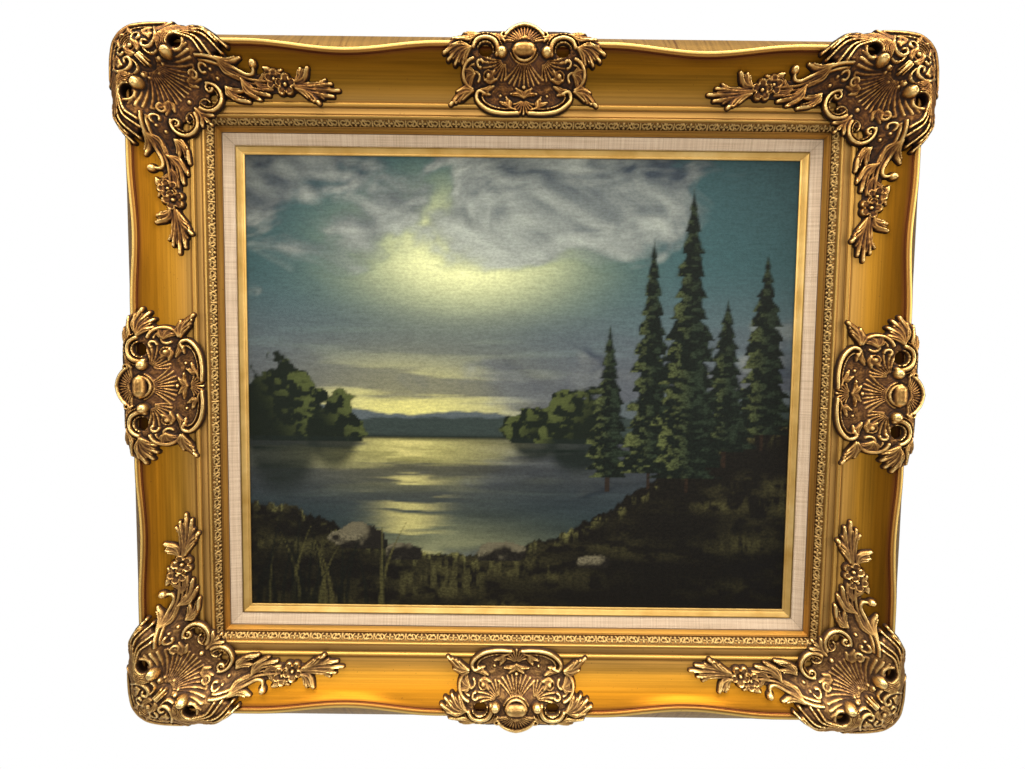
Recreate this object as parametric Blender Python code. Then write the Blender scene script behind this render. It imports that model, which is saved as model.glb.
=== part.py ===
"""Framed oil painting: a stretched canvas in a gilt slip and linen liner, in a carved swept frame.

Sizes are in millimetres. On a rail, a is the distance out from the picture opening, d is the height in front of the
opening, and s runs along the rail from its middle. The origin is the middle of the top rail's flat back.
"""

import collections
import math

import bmesh
import bpy
import numpy as np
from mathutils import Vector
from mathutils.geometry import delaunay_2d_cdt

MM = 0.001

# The picture opening, the clearance between pieces and the distance from the opening back to the wall
SIGHT_W = 597.0
SIGHT_H = 495.0
CLEAR = 0.3
BACK = 30.0

# Gilt slip
SLIP_W = 8.5
SLIP_RISE = 5.6
SLIP_EDGE = 0.9
SLIP_FLAT = 2.2
SLIP_BACK = -0.7

# Linen liner, with a tongue under the frame's inner edge
LINEN_OUT = 21.2
LINEN_LOW = 4.6
LINEN_HIGH = 8.4
TONGUE_W = 8.0
TONGUE_TOP = 5.9
LINER_BACK = -13.0

# Stretched canvas and its bars
CANVAS_LAP = 6.4
CANVAS_T = 1.0
TURN_DEPTH = 19.0
BAR_W = 42.0
BAR_T = 17.0
BAR_BEVEL = 2.5

# Frame rail: height of the inner edge, course, bead, flat, fillet, cove and rim
FRAME_OUT = 116.8
EDGE_TOP = 9.4
COURSE_IN = 26.8
COURSE_OUT = 33.4
COURSE_LOW = 15.2
COURSE_HIGH = 21.6
BEAD_W = 3.8
BEAD_TOP = 24.5
FLAT_TOP = 23.4
FLAT_OUT = 44.4
FILLET_W = 5.2
FILLET_TOP = 26.2
COVE_LOW = 24.2
COVE_STEPS = 5
COVE_FIXED = 84.0
COVE_FIXED_TOP = 33.8
RIM_OUT = 106.0
LEVEL_SWING = 7.8
UPRIGHT_SWING = 3.6
RIM_W = 7.0
RIM_LIP = 3.3
RIM_TOP = 45.6
SIDE_TOP = 22.4
SWEEP_START = 84.0
SWEEP_END = 14.0
SWEEP_STEPS = 6

# Castings: drawn for a rail PATTERN_W wide and scaled to the frame's own, with the thinnest plate over the rail, the
# clearance for glue, and the spacing of points on the outline and on the relief
PATTERN_W = 116.8
GLUE = 0.4
PLATE = 2.6
EDGE_MARGIN = 1.0
CORNER_GRAIN = 5.6
CENTRE_GRAIN = 6.2
OUTLINE_SLACK = 1.8
FINE = 0.5
FAN_GRAIN = 0.45
SPOT_MERGE = 0.05


def clear_scene():
    for obj in list(bpy.data.objects):
        bpy.data.objects.remove(obj)


def material(name, colour, roughness, metallic):
    found = bpy.data.materials.get(name) or bpy.data.materials.new(name)
    found.use_nodes = True
    shader = found.node_tree.nodes["Principled BSDF"]
    shader.inputs["Base Color"].default_value = (*colour, 1.0)
    shader.inputs["Roughness"].default_value = roughness
    shader.inputs["Metallic"].default_value = metallic
    found.diffuse_color = (*colour, 1.0)
    return found


def gilt():
    return material("gilt", (0.50, 0.29, 0.08), 0.42, 0.85)


def antique_gilt():
    return material("antique_gilt", (0.42, 0.27, 0.12), 0.45, 0.8)


def linen():
    return material("linen", (0.80, 0.68, 0.55), 0.95, 0.0)


def paint():
    return material("oil_paint", (0.22, 0.25, 0.22), 0.5, 0.0)


def pine():
    return material("pine", (0.55, 0.40, 0.24), 0.8, 0.0)


def back_centre():
    """How far out from the opening the middle of a rail's flat back lies."""
    return (rabbet_wall() + FRAME_OUT) / 2


def rabbet_wall():
    return LINEN_OUT + TONGUE_W + CLEAR


def side_frame(side):
    """The direction along a rail and the direction out from the opening, seen from the front, and the half lengths."""
    out = {"bottom": (0, -1), "right": (1, 0), "top": (0, 1), "left": (-1, 0)}[side]
    along = (-out[1], out[0])
    level = side in ("bottom", "top")
    half = (SIGHT_W if level else SIGHT_H) / 2
    reach = (SIGHT_H if level else SIGHT_W) / 2
    return along, out, half, reach


def place(side, s, a, d):
    """Turns a point on a rail into metres in the object's frame."""
    along, out, _, reach = side_frame(side)
    x = along[0] * s + out[0] * (reach + a)
    z = along[1] * s + out[1] * (reach + a)
    return Vector((x, -(BACK + d), z - SIGHT_H / 2 - back_centre())) * MM


def solid(name, points, faces, look):
    """Makes one closed body with its faces turned outwards."""
    mesh = bpy.data.meshes.new(name)
    mesh.from_pydata([tuple(point) for point in points], [], faces)
    work = bmesh.new()
    work.from_mesh(mesh)
    bmesh.ops.recalc_face_normals(work, faces=work.faces)
    if work.calc_volume(signed=True) < 0:
        bmesh.ops.reverse_faces(work, faces=work.faces)
    work.to_mesh(mesh)
    work.free()
    mesh.materials.append(look)
    made = bpy.data.objects.new(name, mesh)
    bpy.context.scene.collection.objects.link(made)
    return made


def mitred(name, side, section, look):
    """A straight rail of one section, cut at 45 degrees at both ends with half the clearance on each."""
    half = side_frame(side)[2]
    count = len(section)
    points = []
    for end in (-1, 1):
        for a, d in section:
            points.append(place(side, end * (half + a - CLEAR / 2), a, d))
    faces = [list(range(count)), list(range(count, 2 * count))]
    for i in range(count):
        j = (i + 1) % count
        faces.append([i, j, count + j, count + i])
    return solid(name, points, faces, look)


def slip_section():
    return [
        (0.0, SLIP_BACK),
        (0.0, SLIP_EDGE),
        (SLIP_FLAT, SLIP_EDGE + CLEAR),
        (SLIP_W - 1.1, SLIP_RISE - 0.2),
        (SLIP_W, SLIP_RISE),
        (SLIP_W, SLIP_BACK),
    ]


def liner_section():
    inner = SLIP_W + CLEAR
    outer = LINEN_OUT - CLEAR
    tongue = LINEN_OUT + TONGUE_W
    return [
        (inner, LINER_BACK),
        (inner, LINEN_LOW),
        (outer, LINEN_HIGH),
        (outer, TONGUE_TOP),
        (tongue, TONGUE_TOP),
        (tongue, LINER_BACK),
    ]


def inner_front():
    """The front of a frame rail from its inner edge to the last fixed line of the cove, which doesn't swing."""
    bead = COURSE_OUT + 1.2
    fillet = FLAT_OUT + 1.0
    cove = fillet + FILLET_W - 1.0
    front = [
        (LINEN_OUT, EDGE_TOP),
        (COURSE_IN - 2.4, COURSE_LOW - 1.4),
        (COURSE_IN - 1.4, COURSE_LOW + 0.3),
        (COURSE_IN, COURSE_LOW),
        (COURSE_OUT, COURSE_HIGH),
        (bead, BEAD_TOP),
        (bead + BEAD_W / 2, BEAD_TOP),
        (COURSE_OUT + BEAD_W, FLAT_TOP),
        (FLAT_OUT, FLAT_TOP),
        (fillet, FILLET_TOP),
        (fillet + FILLET_W - 2.0, FILLET_TOP),
        (cove, COVE_LOW),
    ]
    for step in range(1, COVE_STEPS):
        share = step / (COVE_STEPS - 1)
        a = cove + (COVE_FIXED - cove) * share
        front.append((a, COVE_LOW + (COVE_FIXED_TOP - COVE_LOW) * share**2.1))
    return front


def outer_front(rim):
    """The rest of the front, for a rim whose crest is rim millimetres out."""
    return [
        (rim - RIM_W, RIM_TOP - RIM_LIP),
        (rim - RIM_W + 1.4, RIM_TOP - 0.7),
        (rim, RIM_TOP),
        (FRAME_OUT, SIDE_TOP),
    ]


def rim_at(s, side):
    """The crest swings in between the castings, further on the level rails than on the upright ones."""
    end = side_frame(side)[2] - SWEEP_END
    share = min(max((abs(s) - SWEEP_START) / (end - SWEEP_START), 0.0), 1.0)
    swing = LEVEL_SWING if side in ("bottom", "top") else UPRIGHT_SWING
    return RIM_OUT - swing * math.sin(math.pi * share) ** 2


def frame_rail(side):
    """A frame rail: long flat faces inside, and a rim that is cut into stations where it swings."""
    half = side_frame(side)[2]
    end = half - SWEEP_END
    swing = [SWEEP_START + (end - SWEEP_START) * i / SWEEP_STEPS for i in range(SWEEP_STEPS + 1)]
    stations = [None] + [-s for s in reversed(swing)] + swing + [None]
    last = len(stations) - 1
    inner = inner_front()
    behind = [(FRAME_OUT, -BACK), (rabbet_wall(), -BACK), (rabbet_wall(), EDGE_TOP - 3.2), (LINEN_OUT, EDGE_TOP - 3.2)]
    points = []

    def mitre(index, a):
        return (1 if index else -1) * (half + a - CLEAR / 2)

    def add(index, a, d):
        s = stations[index]
        points.append(place(side, mitre(index, a) if s is None else s, a, d))
        return len(points) - 1

    ends = {}
    for index in (0, last):
        ends[index] = [add(index, a, d) for a, d in inner + behind]
    rows = []
    for index, s in enumerate(stations):
        rim = rim_at(half if s is None else s, side)
        row = [ends[index][len(inner) - 1]] if s is None else [add(index, *inner[-1])]
        row += [add(index, a, d) for a, d in outer_front(rim)]
        rows.append(row)
    faces = []
    for i in range(len(inner) + len(behind) - 1):
        if i in (len(inner) - 2, len(inner) - 1):
            continue
        faces.append([ends[0][i], ends[0][i + 1], ends[last][i + 1], ends[last][i]])
    around = len(inner) + len(behind) - 1
    faces.append([ends[0][around], ends[0][0], ends[last][0], ends[last][around]])
    fixed = len(inner) - 2
    faces.append([ends[0][fixed]] + [row[0] for row in rows] + [ends[last][fixed]])
    faces.append([ends[0][len(inner)]] + [row[-1] for row in rows] + [ends[last][len(inner)]])
    for row, after in zip(rows, rows[1:]):
        for i in range(len(row) - 1):
            faces.append([row[i], row[i + 1], after[i + 1], after[i]])
    for index, row in ((0, rows[0]), (last, rows[-1])):
        faces.append(ends[index][: len(inner)] + row[1:] + ends[index][len(inner) :])
    return solid("frame_rail_" + side, points, faces, gilt())


def canvas_tray():
    """Canvas drawn over the front and sides of the stretcher, open at the back."""
    wide = SIGHT_W / 2 + CANVAS_LAP
    tall = SIGHT_H / 2 + CANVAS_LAP
    front = SLIP_BACK - CLEAR
    loops = [
        (0.0, front - TURN_DEPTH),
        (0.0, front),
        (CANVAS_T, front - CANVAS_T),
        (CANVAS_T, front - TURN_DEPTH),
    ]
    points = []
    middle = -SIGHT_H / 2 - back_centre()
    for inset, d in loops:
        for x, z in ((-1, -1), (1, -1), (1, 1), (-1, 1)):
            points.append(Vector((x * (wide - inset), -(BACK + d), z * (tall - inset) + middle)) * MM)
    faces = [[4, 5, 6, 7], [8, 9, 10, 11]]
    for low, high in ((0, 4), (8, 12), (12, 0)):
        for i in range(4):
            j = (i + 1) % 4
            faces.append([low + i, low + j, high + j, high + i])
    return solid("canvas", points, faces, paint())


def stretcher_section():
    outer = CANVAS_LAP - CANVAS_T - CLEAR
    front = SLIP_BACK - CLEAR - CANVAS_T - CLEAR
    return [
        (outer, front - BAR_T),
        (outer, front),
        (outer - BAR_W, front - BAR_BEVEL),
        (outer - BAR_W, front - BAR_T),
    ]


def seat_under(a):
    """Height of the seat under a casting, and where it bends down, for a rail PATTERN_W wide."""
    scale = FRAME_OUT / PATTERN_W
    height, bends = rail_top(np.asarray(a) * scale)
    return height / scale, [bend / scale for bend in bends]


def rail_top(a):
    """Height of the seat that a casting rests on: level over the beads, then the cove, rim and flared side."""
    inner = inner_front()
    cove = [point for point in inner if point[0] > FLAT_OUT + FILLET_W]
    seat = [(0.0, FILLET_TOP), (cove[0][0] - 0.4, FILLET_TOP)]
    seat += [(point[0] + 0.4 * (point is cove[0]), point[1]) for point in cove]
    seat += outer_front(RIM_OUT)
    seat += [(FRAME_OUT + 0.4, SIDE_TOP), (FRAME_OUT + 30.0, SIDE_TOP)]
    return np.interp(a, *zip(*seat)), bends_down(seat)


def bends_down(line):
    """Where a line bends downwards, so that a chord across the bend would run below it."""
    found = []
    for before, here, after in zip(line, line[1:], line[2:]):
        rise = (here[1] - before[1]) / (here[0] - before[0])
        if (after[1] - here[1]) / (after[0] - here[0]) < rise - 1e-6:
            found.append(here[0])
    return found


Stroke = collections.namedtuple("Stroke", "path wide narrow rise grain")


def arc(centre, radius, start, end, radius_end=None):
    """Points on an arc or spiral. Angles are in degrees, from the u or s axis towards the a axis."""
    steps = max(3, round(abs(end - start) / 30))
    turn = np.radians(np.linspace(start, end, steps + 1))
    size = np.linspace(radius, radius_end or radius, steps + 1)
    return np.column_stack([centre[0] + size * np.cos(turn), centre[1] + size * np.sin(turn)])


def stroke(path, wide, narrow, rise, grain=1.0):
    """A rounded ridge along a path, from half-width wide at its start to narrow at its end."""
    return Stroke(np.array(path, float), wide, narrow, rise, grain)


def dome(centre, radius, rise, grain=1.0):
    return stroke([centre, centre], radius, radius, rise, grain)


def flower(centre, petals, size, rise):
    parts = [dome(centre, size * 0.26, rise * 1.2)]
    for i in range(petals):
        turn = 2 * math.pi * (i + 0.25) / petals
        middle = (centre[0] + 0.6 * size * math.cos(turn), centre[1] + 0.6 * size * math.sin(turn))
        parts.append(dome(middle, size * 0.42, rise))
    return parts


def fan(origin, heading, spread, count, near, far, width, rise, flare=0.0):
    """Ribs from heading to heading + spread degrees. The last one is longer than the first by flare."""
    ribs = []
    for i in range(count):
        share = i / (count - 1)
        turn = math.radians(heading + spread * share)
        bend = math.radians(spread * share * 0.25)
        reach = far + flare * share
        path = []
        for r, angle in ((near, turn), (reach, turn + bend)):
            path.append((origin[0] + r * math.cos(angle), origin[1] + r * math.sin(angle)))
        ribs.append(stroke(path, width * 0.7, width, rise, FAN_GRAIN))
    return ribs


def leaf(root, tips, wide, narrow, rise):
    return [stroke([root, tip], wide, narrow, rise) for tip in tips]


def corner_relief():
    """Strokes of half a corner casting, as (u, v) out from the corner of the opening, where v is at least u."""
    eye = (49.0, 98.0)
    parts = [dome((57.3, 87.3), 6.6, 10.5, FINE), dome((66.0, 82.0), 3.0, 4.0), dome((47.0, 47.0), 4.0, 4.0)]
    for radius in (9.0, 13.0, 16.8):
        parts.append(stroke(arc(eye, radius, -25, 150), 1.9, 1.9, 3.4, FINE))
    parts.append(stroke(arc(eye, 8.6, 160, 290), 1.4, 1.4, 2.0))
    parts += leaf((38, 104), [(13, 107), (1, 97.5), (7, 90.5), (22, 89)], 2.8, 2.2, 3.8)
    parts.append(stroke([(74, 113), (72, 100), (74, 89), (80, 80)], 2.6, 2.6, 4.0))
    parts.append(stroke([(85, 85), (77, 77)], 4.8, 3.6, 6.0))
    parts += leaf((86, 86), [(93, 97), (85, 96)], 1.8, 1.2, 2.4)
    parts += [dome((95, 95), 3.6, 4.0), stroke(arc((87, 103), 4.6, -40, 230), 1.9, 1.9, 3.2)]
    parts.append(stroke([(111, 111), (101, 116), (88, 118.5), (75, 119), (64, 119)], 2.8, 2.0, 3.0))
    parts += fan((80, 80), 225, -58, 8, 14, 40, 2.0, 2.8, 8)
    parts.append(stroke(arc((38, 71), 3.8, 10, 300), 1.9, 1.9, 3.6))
    parts.append(stroke(arc((26, 51), 13.0, -50, -275), 3.4, 2.4, 4.6))
    parts.append(stroke(arc((24, 60), 4.2, 60, -180), 2.0, 2.0, 4.0))
    parts += leaf((38, 38), [(23.5, 23.5), (22, 31)], 3.2, 1.8, 3.6)
    parts.append(stroke([(30, 87), (12, 86), (0, 81), (-14, 74), (-22, 75), (-23, 81)], 2.8, 2.4, 4.0))
    parts += [dome((-20, 85), 5.0, 6.0), stroke([(0, 77), (-18, 69), (-38, 67)], 2.4, 2.4, 3.2)]
    parts += leaf((-12, 70), [(-36, 54.5), (-26, 51.5)], 3.2, 1.8, 3.4)
    parts.append(stroke([(8, 58), (-6, 55), (-16, 47)], 3.2, 1.9, 3.6))
    parts += flower((-42, 69.5), 5, 10.0, 3.2) + flower((-53.5, 64.5), 5, 11.0, 4.6)
    parts += [stroke([(-66, 65), (-86, 62), (-108, 60)], 4.6, 2.2, 3.6), stroke([(-84, 62), (-93, 68)], 3.0, 2.0, 3.0)]
    parts.append(stroke([(-66, 62), (-77, 56), (-89, 46.5)], 3.6, 2.6, 4.2))
    parts.append(stroke([(-64, 65), (-74, 70), (-77, 80)], 3.2, 3.4, 4.4))
    return parts


def corner_webs():
    """Plain ground that joins the strokes of half a corner casting."""
    return [
        stroke([(95, 95), (78, 97.5)], 22.5, 22.5, 0.0),
        stroke([(49, 98), (48, 97)], 18.5, 18.5, 0.0),
        stroke([(66, 66), (58, 84)], 24.0, 20.0, 0.0),
        stroke([(46, 46), (36, 66)], 15.0, 14.0, 0.0),
        stroke([(44, 97), (18, 99)], 13.0, 9.0, 0.0),
        stroke([(30, 78), (-12, 66)], 14.0, 8.0, 0.0),
        stroke([(-12, 66), (-62, 64)], 9.0, 6.0, 0.0),
    ]


def centre_relief():
    """Strokes of half a centre casting, as (s, a)."""
    eye = (39.0, 95.5)
    parts = [stroke([(0, 96.5), (5, 96.5)], 7.6, 7.2, 7.0, FINE), dome((22.7, 93.9), 5.8, 8.5, FINE)]
    parts.append(stroke(arc((0, 97.5), 11.5, -90, -5), 2.4, 2.0, 3.4))
    for radius in (9.0, 12.8, 16.8):
        parts.append(stroke(arc(eye, radius, 190, 20), 1.8, 1.8, 3.2, FINE))
    parts += leaf((56, 97), [(81, 94), (77, 87), (69, 83.5), (61, 84)], 2.8, 2.2, 3.6)
    parts.append(stroke([(46, 111), (60, 107), (72, 108)], 2.6, 2.6, 3.6))
    parts += fan((0, 98), 90, -58, 5, 10, 26.5, 2.5, 3.2, -4)
    parts += fan((0, 92), -90, 68, 8, 8, 25, 1.9, 2.6, 12)
    parts += [dome((36, 73.5), 3.2, 4.0), stroke(arc((44, 84), 3.4, -90, 150), 1.8, 1.8, 3.2)]
    parts += [dome((0, 62), 2.6, 3.4), stroke(arc((4.5, 62), 3.0, 180, 340), 1.4, 1.2, 2.4)]
    parts.append(stroke(arc((48, 75), 13.5, -70, 75), 2.6, 2.6, 3.4))
    parts.append(stroke(arc((50, 73), 6.0, 230, 80), 1.5, 1.5, 2.2))
    parts.append(stroke([(6, 39), (19, 38.5), (33, 40.5), (43, 46), (48.5, 53.5), (46, 60), (40, 58)], 3.0, 2.2, 4.6))
    parts.append(stroke([(8, 42), (14.5, 45), (14.5, 50.5)], 2.0, 2.0, 3.2))
    parts += fan((0, 53), -90, 50, 3, 3, 17.5, 2.4, 3.8, -4)
    parts += leaf((51, 56), [(75, 47), (67, 60)], 3.4, 2.4, 3.6)
    return parts


def centre_webs():
    """Plain ground that joins the strokes of half a centre casting."""
    return [
        stroke([(0, 72), (26, 74)], 24.0, 22.0, 0.0),
        stroke([(0, 54), (34, 52)], 12.0, 12.0, 0.0),
        stroke([(44, 74), (44, 84)], 17.0, 17.0, 0.0),
        stroke([(0, 100), (40, 97)], 15.0, 17.5, 0.0),
        stroke([(50, 99), (68, 97)], 14.0, 9.0, 0.0),
        stroke([(0, 108), (0, 112)], 13.0, 9.0, 0.0),
    ]


CORNER_BODY = [(20, 28), (54, 29), (65, 31.5), (76, 40), (85, 51), (90, 55.5), (98, 57), (107, 55), (114, 49), (128, 38)]
CENTRE_BODY = [(30, 28.5), (55, 29), (66, 32), (76, 38), (86, 44.5), (94, 47), (106, 48.5), (113, 46), (128, 40)]


class Casting:
    """The form of one kind of casting: its fold, its relief, its holes and its ground."""

    def __init__(self, relief, webs, holes, body, fade, folded):
        self.relief = relief
        self.webs = webs
        self.holes = holes
        self.body = body
        self.fade = fade
        self.folded = folded

    def fold(self, points):
        """Brings points to the half that the strokes are given for."""
        if self.folded:
            return np.sort(points, axis=1)
        return np.column_stack([np.abs(points[:, 0]), points[:, 1]])

    def measure(self, points, shape, margin):
        """The points near the stroke, their distance to its path, and the half-width there."""
        path, wide, narrow = shape.path, shape.wide, shape.narrow
        reach = max(wide, narrow) + margin
        low = path.min(axis=0) - reach
        high = path.max(axis=0) + reach
        close = np.flatnonzero(((points >= low) & (points <= high)).all(axis=1))
        points = points[close]
        best = np.full(len(points), np.inf)
        width = np.full(len(points), float(wide))
        count = len(path) - 1
        for i in range(count):
            run = path[i + 1] - path[i]
            length = max(run @ run, 1e-9)
            share = np.clip((points - path[i]) @ run / length, 0.0, 1.0)
            gap = np.hypot(*(points - path[i] - share[:, None] * run).T)
            nearer = gap < best
            best = np.where(nearer, gap, best)
            width = np.where(nearer, wide + (narrow - wide) * (i + share) / count, width)
        return close, best, width

    def mask(self, points):
        """Above zero inside the casting's outline, in millimetres."""
        points = self.fold(points)
        inside = np.full(len(points), -9.0)
        for shape in self.relief + self.webs:
            close, gap, width = self.measure(points, shape, 6.0)
            inside[close] = np.maximum(inside[close], width + EDGE_MARGIN - gap)
        for centre, radii in self.holes:
            scaled = np.hypot(*((points - centre) / radii).T)
            inside = np.minimum(inside, (scaled - 1.0) * min(radii))
        return inside

    def out(self, points):
        return self.fold(points)[:, 1]

    def bottom(self, points):
        return seat_under(self.out(points))[0] + GLUE

    def top(self, points):
        """Height of the front surface."""
        points = self.fold(points)
        along, out = points.T
        if self.folded:
            near = np.maximum(along, 0.0)
            out_body = (near**6 + out**6) ** (1 / 6)
        else:
            out_body = out
        body = np.interp(out_body, *zip(*self.body))
        share = np.clip((along - self.fade[0]) / (self.fade[1] - self.fade[0]), 0.0, 1.0)
        share = share * share * (3 - 2 * share)
        ground = seat_under(out)[0] + PLATE
        height = np.maximum(ground, ground + (body - ground) * share)
        raised = np.zeros(len(points))
        for shape in self.relief:
            close, gap, width = self.measure(points, shape, 0.0)
            round_off = np.sqrt(np.clip(1.0 - (gap / width) ** 2, 0.0, 1.0))
            raised[close] = np.maximum(raised[close], shape.rise * round_off)
        return height + raised


def outline(casting, low, high):
    """Traces where the mask crosses zero on a 1 mm grid, as closed loops with few points."""
    xs = np.arange(low[0], high[0] + 1.0)
    ys = np.arange(low[1], high[1] + 1.0)
    grid = np.stack(np.meshgrid(xs, ys, indexing="ij"), -1)
    value = casting.mask(grid.reshape(-1, 2)).reshape(len(xs), len(ys))

    def crossing(i, j, k, m):
        share = value[i, j] / (value[i, j] - value[k, m])
        return grid[i, j] + share * (grid[k, m] - grid[i, j])

    links = {}
    spots = {}
    solid_at = value > 0
    count = solid_at[:-1, :-1].astype(int) + solid_at[1:, :-1] + solid_at[1:, 1:] + solid_at[:-1, 1:]
    for i, j in np.argwhere((count > 0) & (count < 4)).tolist():
        ring = [(i, j), (i + 1, j), (i + 1, j + 1), (i, j + 1)]
        starts = []
        ends = []
        for first, second in zip(ring, ring[1:] + ring[:1]):
            if solid_at[first] != solid_at[second]:
                key = (min(first, second), max(first, second))
                spots[key] = crossing(*first, *second)
                (starts if solid_at[first] else ends).append(key)
        for start, end in zip(starts, ends):
            links[start] = end
    loops = []
    while links:
        start, here = links.popitem()
        loop = [spots[start]]
        while here != start:
            loop.append(spots[here])
            here = links.pop(here)
        loops.append(simplify(loop))
    return [loop for loop in loops if len(loop) > 4]


def simplify(loop):
    """Keeps the points that the loop needs to stay within OUTLINE_SLACK."""
    points = np.array(loop)
    keep = {0, len(points) // 2}
    waiting = [(0, len(points) // 2), (len(points) // 2, len(points))]
    while waiting:
        first, last = waiting.pop()
        if last - first < 2:
            continue
        start = points[first]
        run = points[last % len(points)] - start
        between = points[first + 1 : last] - start
        off = np.abs(between[:, 0] * run[1] - between[:, 1] * run[0]) / max(np.hypot(*run), 1e-6)
        worst = int(np.argmax(off))
        if off[worst] > OUTLINE_SLACK:
            middle = first + 1 + worst
            keep.add(middle)
            waiting += [(first, middle), (middle, last)]
    return points[sorted(keep)]


def inside_loops(points, loops):
    """Whether each point lies inside an odd number of loops."""
    odd = np.zeros(len(points), bool)
    for loop in loops:
        after = np.roll(loop, -1, axis=0)
        for (x0, y0), (x1, y1) in zip(loop, after):
            if y0 == y1:
                continue
            spans = (points[:, 1] > min(y0, y1)) & (points[:, 1] <= max(y0, y1))
            cut = x0 + (points[:, 1] - y0) * (x1 - x0) / (y1 - y0)
            odd ^= spans & (cut > points[:, 0])
    return odd


def inside_faces(spots, faces, walls, loops):
    """The triangles inside the loops. Walls are the edges that part inside from outside, so slivers follow their area."""
    beside = {}
    for i, face in enumerate(faces.tolist()):
        for first, second in zip(face, face[1:] + face[:1]):
            edge = (min(first, second), max(first, second))
            if edge not in walls:
                beside.setdefault(edge, []).append(i)
    joined = {}
    for pair in beside.values():
        if len(pair) == 2:
            joined.setdefault(pair[0], []).append(pair[1])
            joined.setdefault(pair[1], []).append(pair[0])
    corners = spots[faces]
    first, second = corners[:, 1] - corners[:, 0], corners[:, 2] - corners[:, 0]
    area = np.abs(first[:, 0] * second[:, 1] - first[:, 1] * second[:, 0])
    inside = inside_loops(corners.mean(axis=1), loops)
    group = np.full(len(faces), -1)
    for start in np.argsort(-area):
        if group[start] >= 0:
            continue
        waiting = [start]
        while waiting:
            here = waiting.pop()
            if group[here] < 0:
                group[here] = inside[start]
                waiting += joined.get(here, [])
    return faces[group == 1]


def flanks(shape):
    """Points at the foot of a stroke, on both sides of each part of a ridge. A finely made dome has a second ring."""
    path = shape.path
    found = []
    if np.hypot(*(path[-1] - path[0])) < 1e-6:
        turns = np.arange(6) * math.pi / 3
        for size in (1.0, 0.65) if shape.grain < 1.0 else (1.0,):
            found += list(path[0] + size * shape.wide * np.column_stack([np.cos(turns), np.sin(turns)]))
        return found
    for i, (first, second) in enumerate(zip(path, path[1:])):
        width = shape.wide + (shape.narrow - shape.wide) * (i + 0.8) / (len(path) - 1)
        across = np.array([first[1] - second[1], second[0] - first[0]])
        across *= width / max(np.hypot(*across), 1e-6)
        foot = first + (second - first) * 0.8
        found += [foot - across, foot + across]
    return found


def relief_points(casting, loops, grain):
    """Points of the relief kept grain apart and clear of the outline, and the crest lines that join them."""
    edge = np.concatenate(loops)
    kept = [tuple(point) for point in edge]
    lines = []

    def keep(point, apart):
        """The point's number, or that of the point already there, or None outside and at the outline."""
        offs = np.hypot(*(np.array(kept) - point).T)
        nearest = int(offs.argmin())
        if offs[nearest] <= apart:
            return nearest if nearest >= len(edge) else None
        if casting.mask(np.array([point]))[0] < EDGE_MARGIN + 0.2 or not inside_loops(np.array([point]), loops)[0]:
            return None
        kept.append(tuple(point))
        return len(kept) - 1

    def mirrored(point):
        return (point[1], point[0]) if casting.folded else (-point[0], point[1])

    for shape in casting.relief:
        for half in (tuple, mirrored):
            row = [keep(half(point), grain * shape.grain * 0.5) for point in shape.path]
            lines += [pair for pair in zip(row, row[1:]) if None not in pair and pair[0] != pair[1]]
            for point in flanks(shape):
                keep(half(point), grain * shape.grain * 0.62)
    crests = []
    for a, b in set(tuple(sorted(line)) for line in lines):
        between = np.array(kept[a]) + np.outer(np.linspace(0.05, 0.95, 9), np.subtract(kept[b], kept[a]))
        if casting.mask(between).min() > OUTLINE_SLACK + 0.2:
            crests.append((a - len(edge), b - len(edge)))
    return kept[len(edge) :], crests


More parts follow.
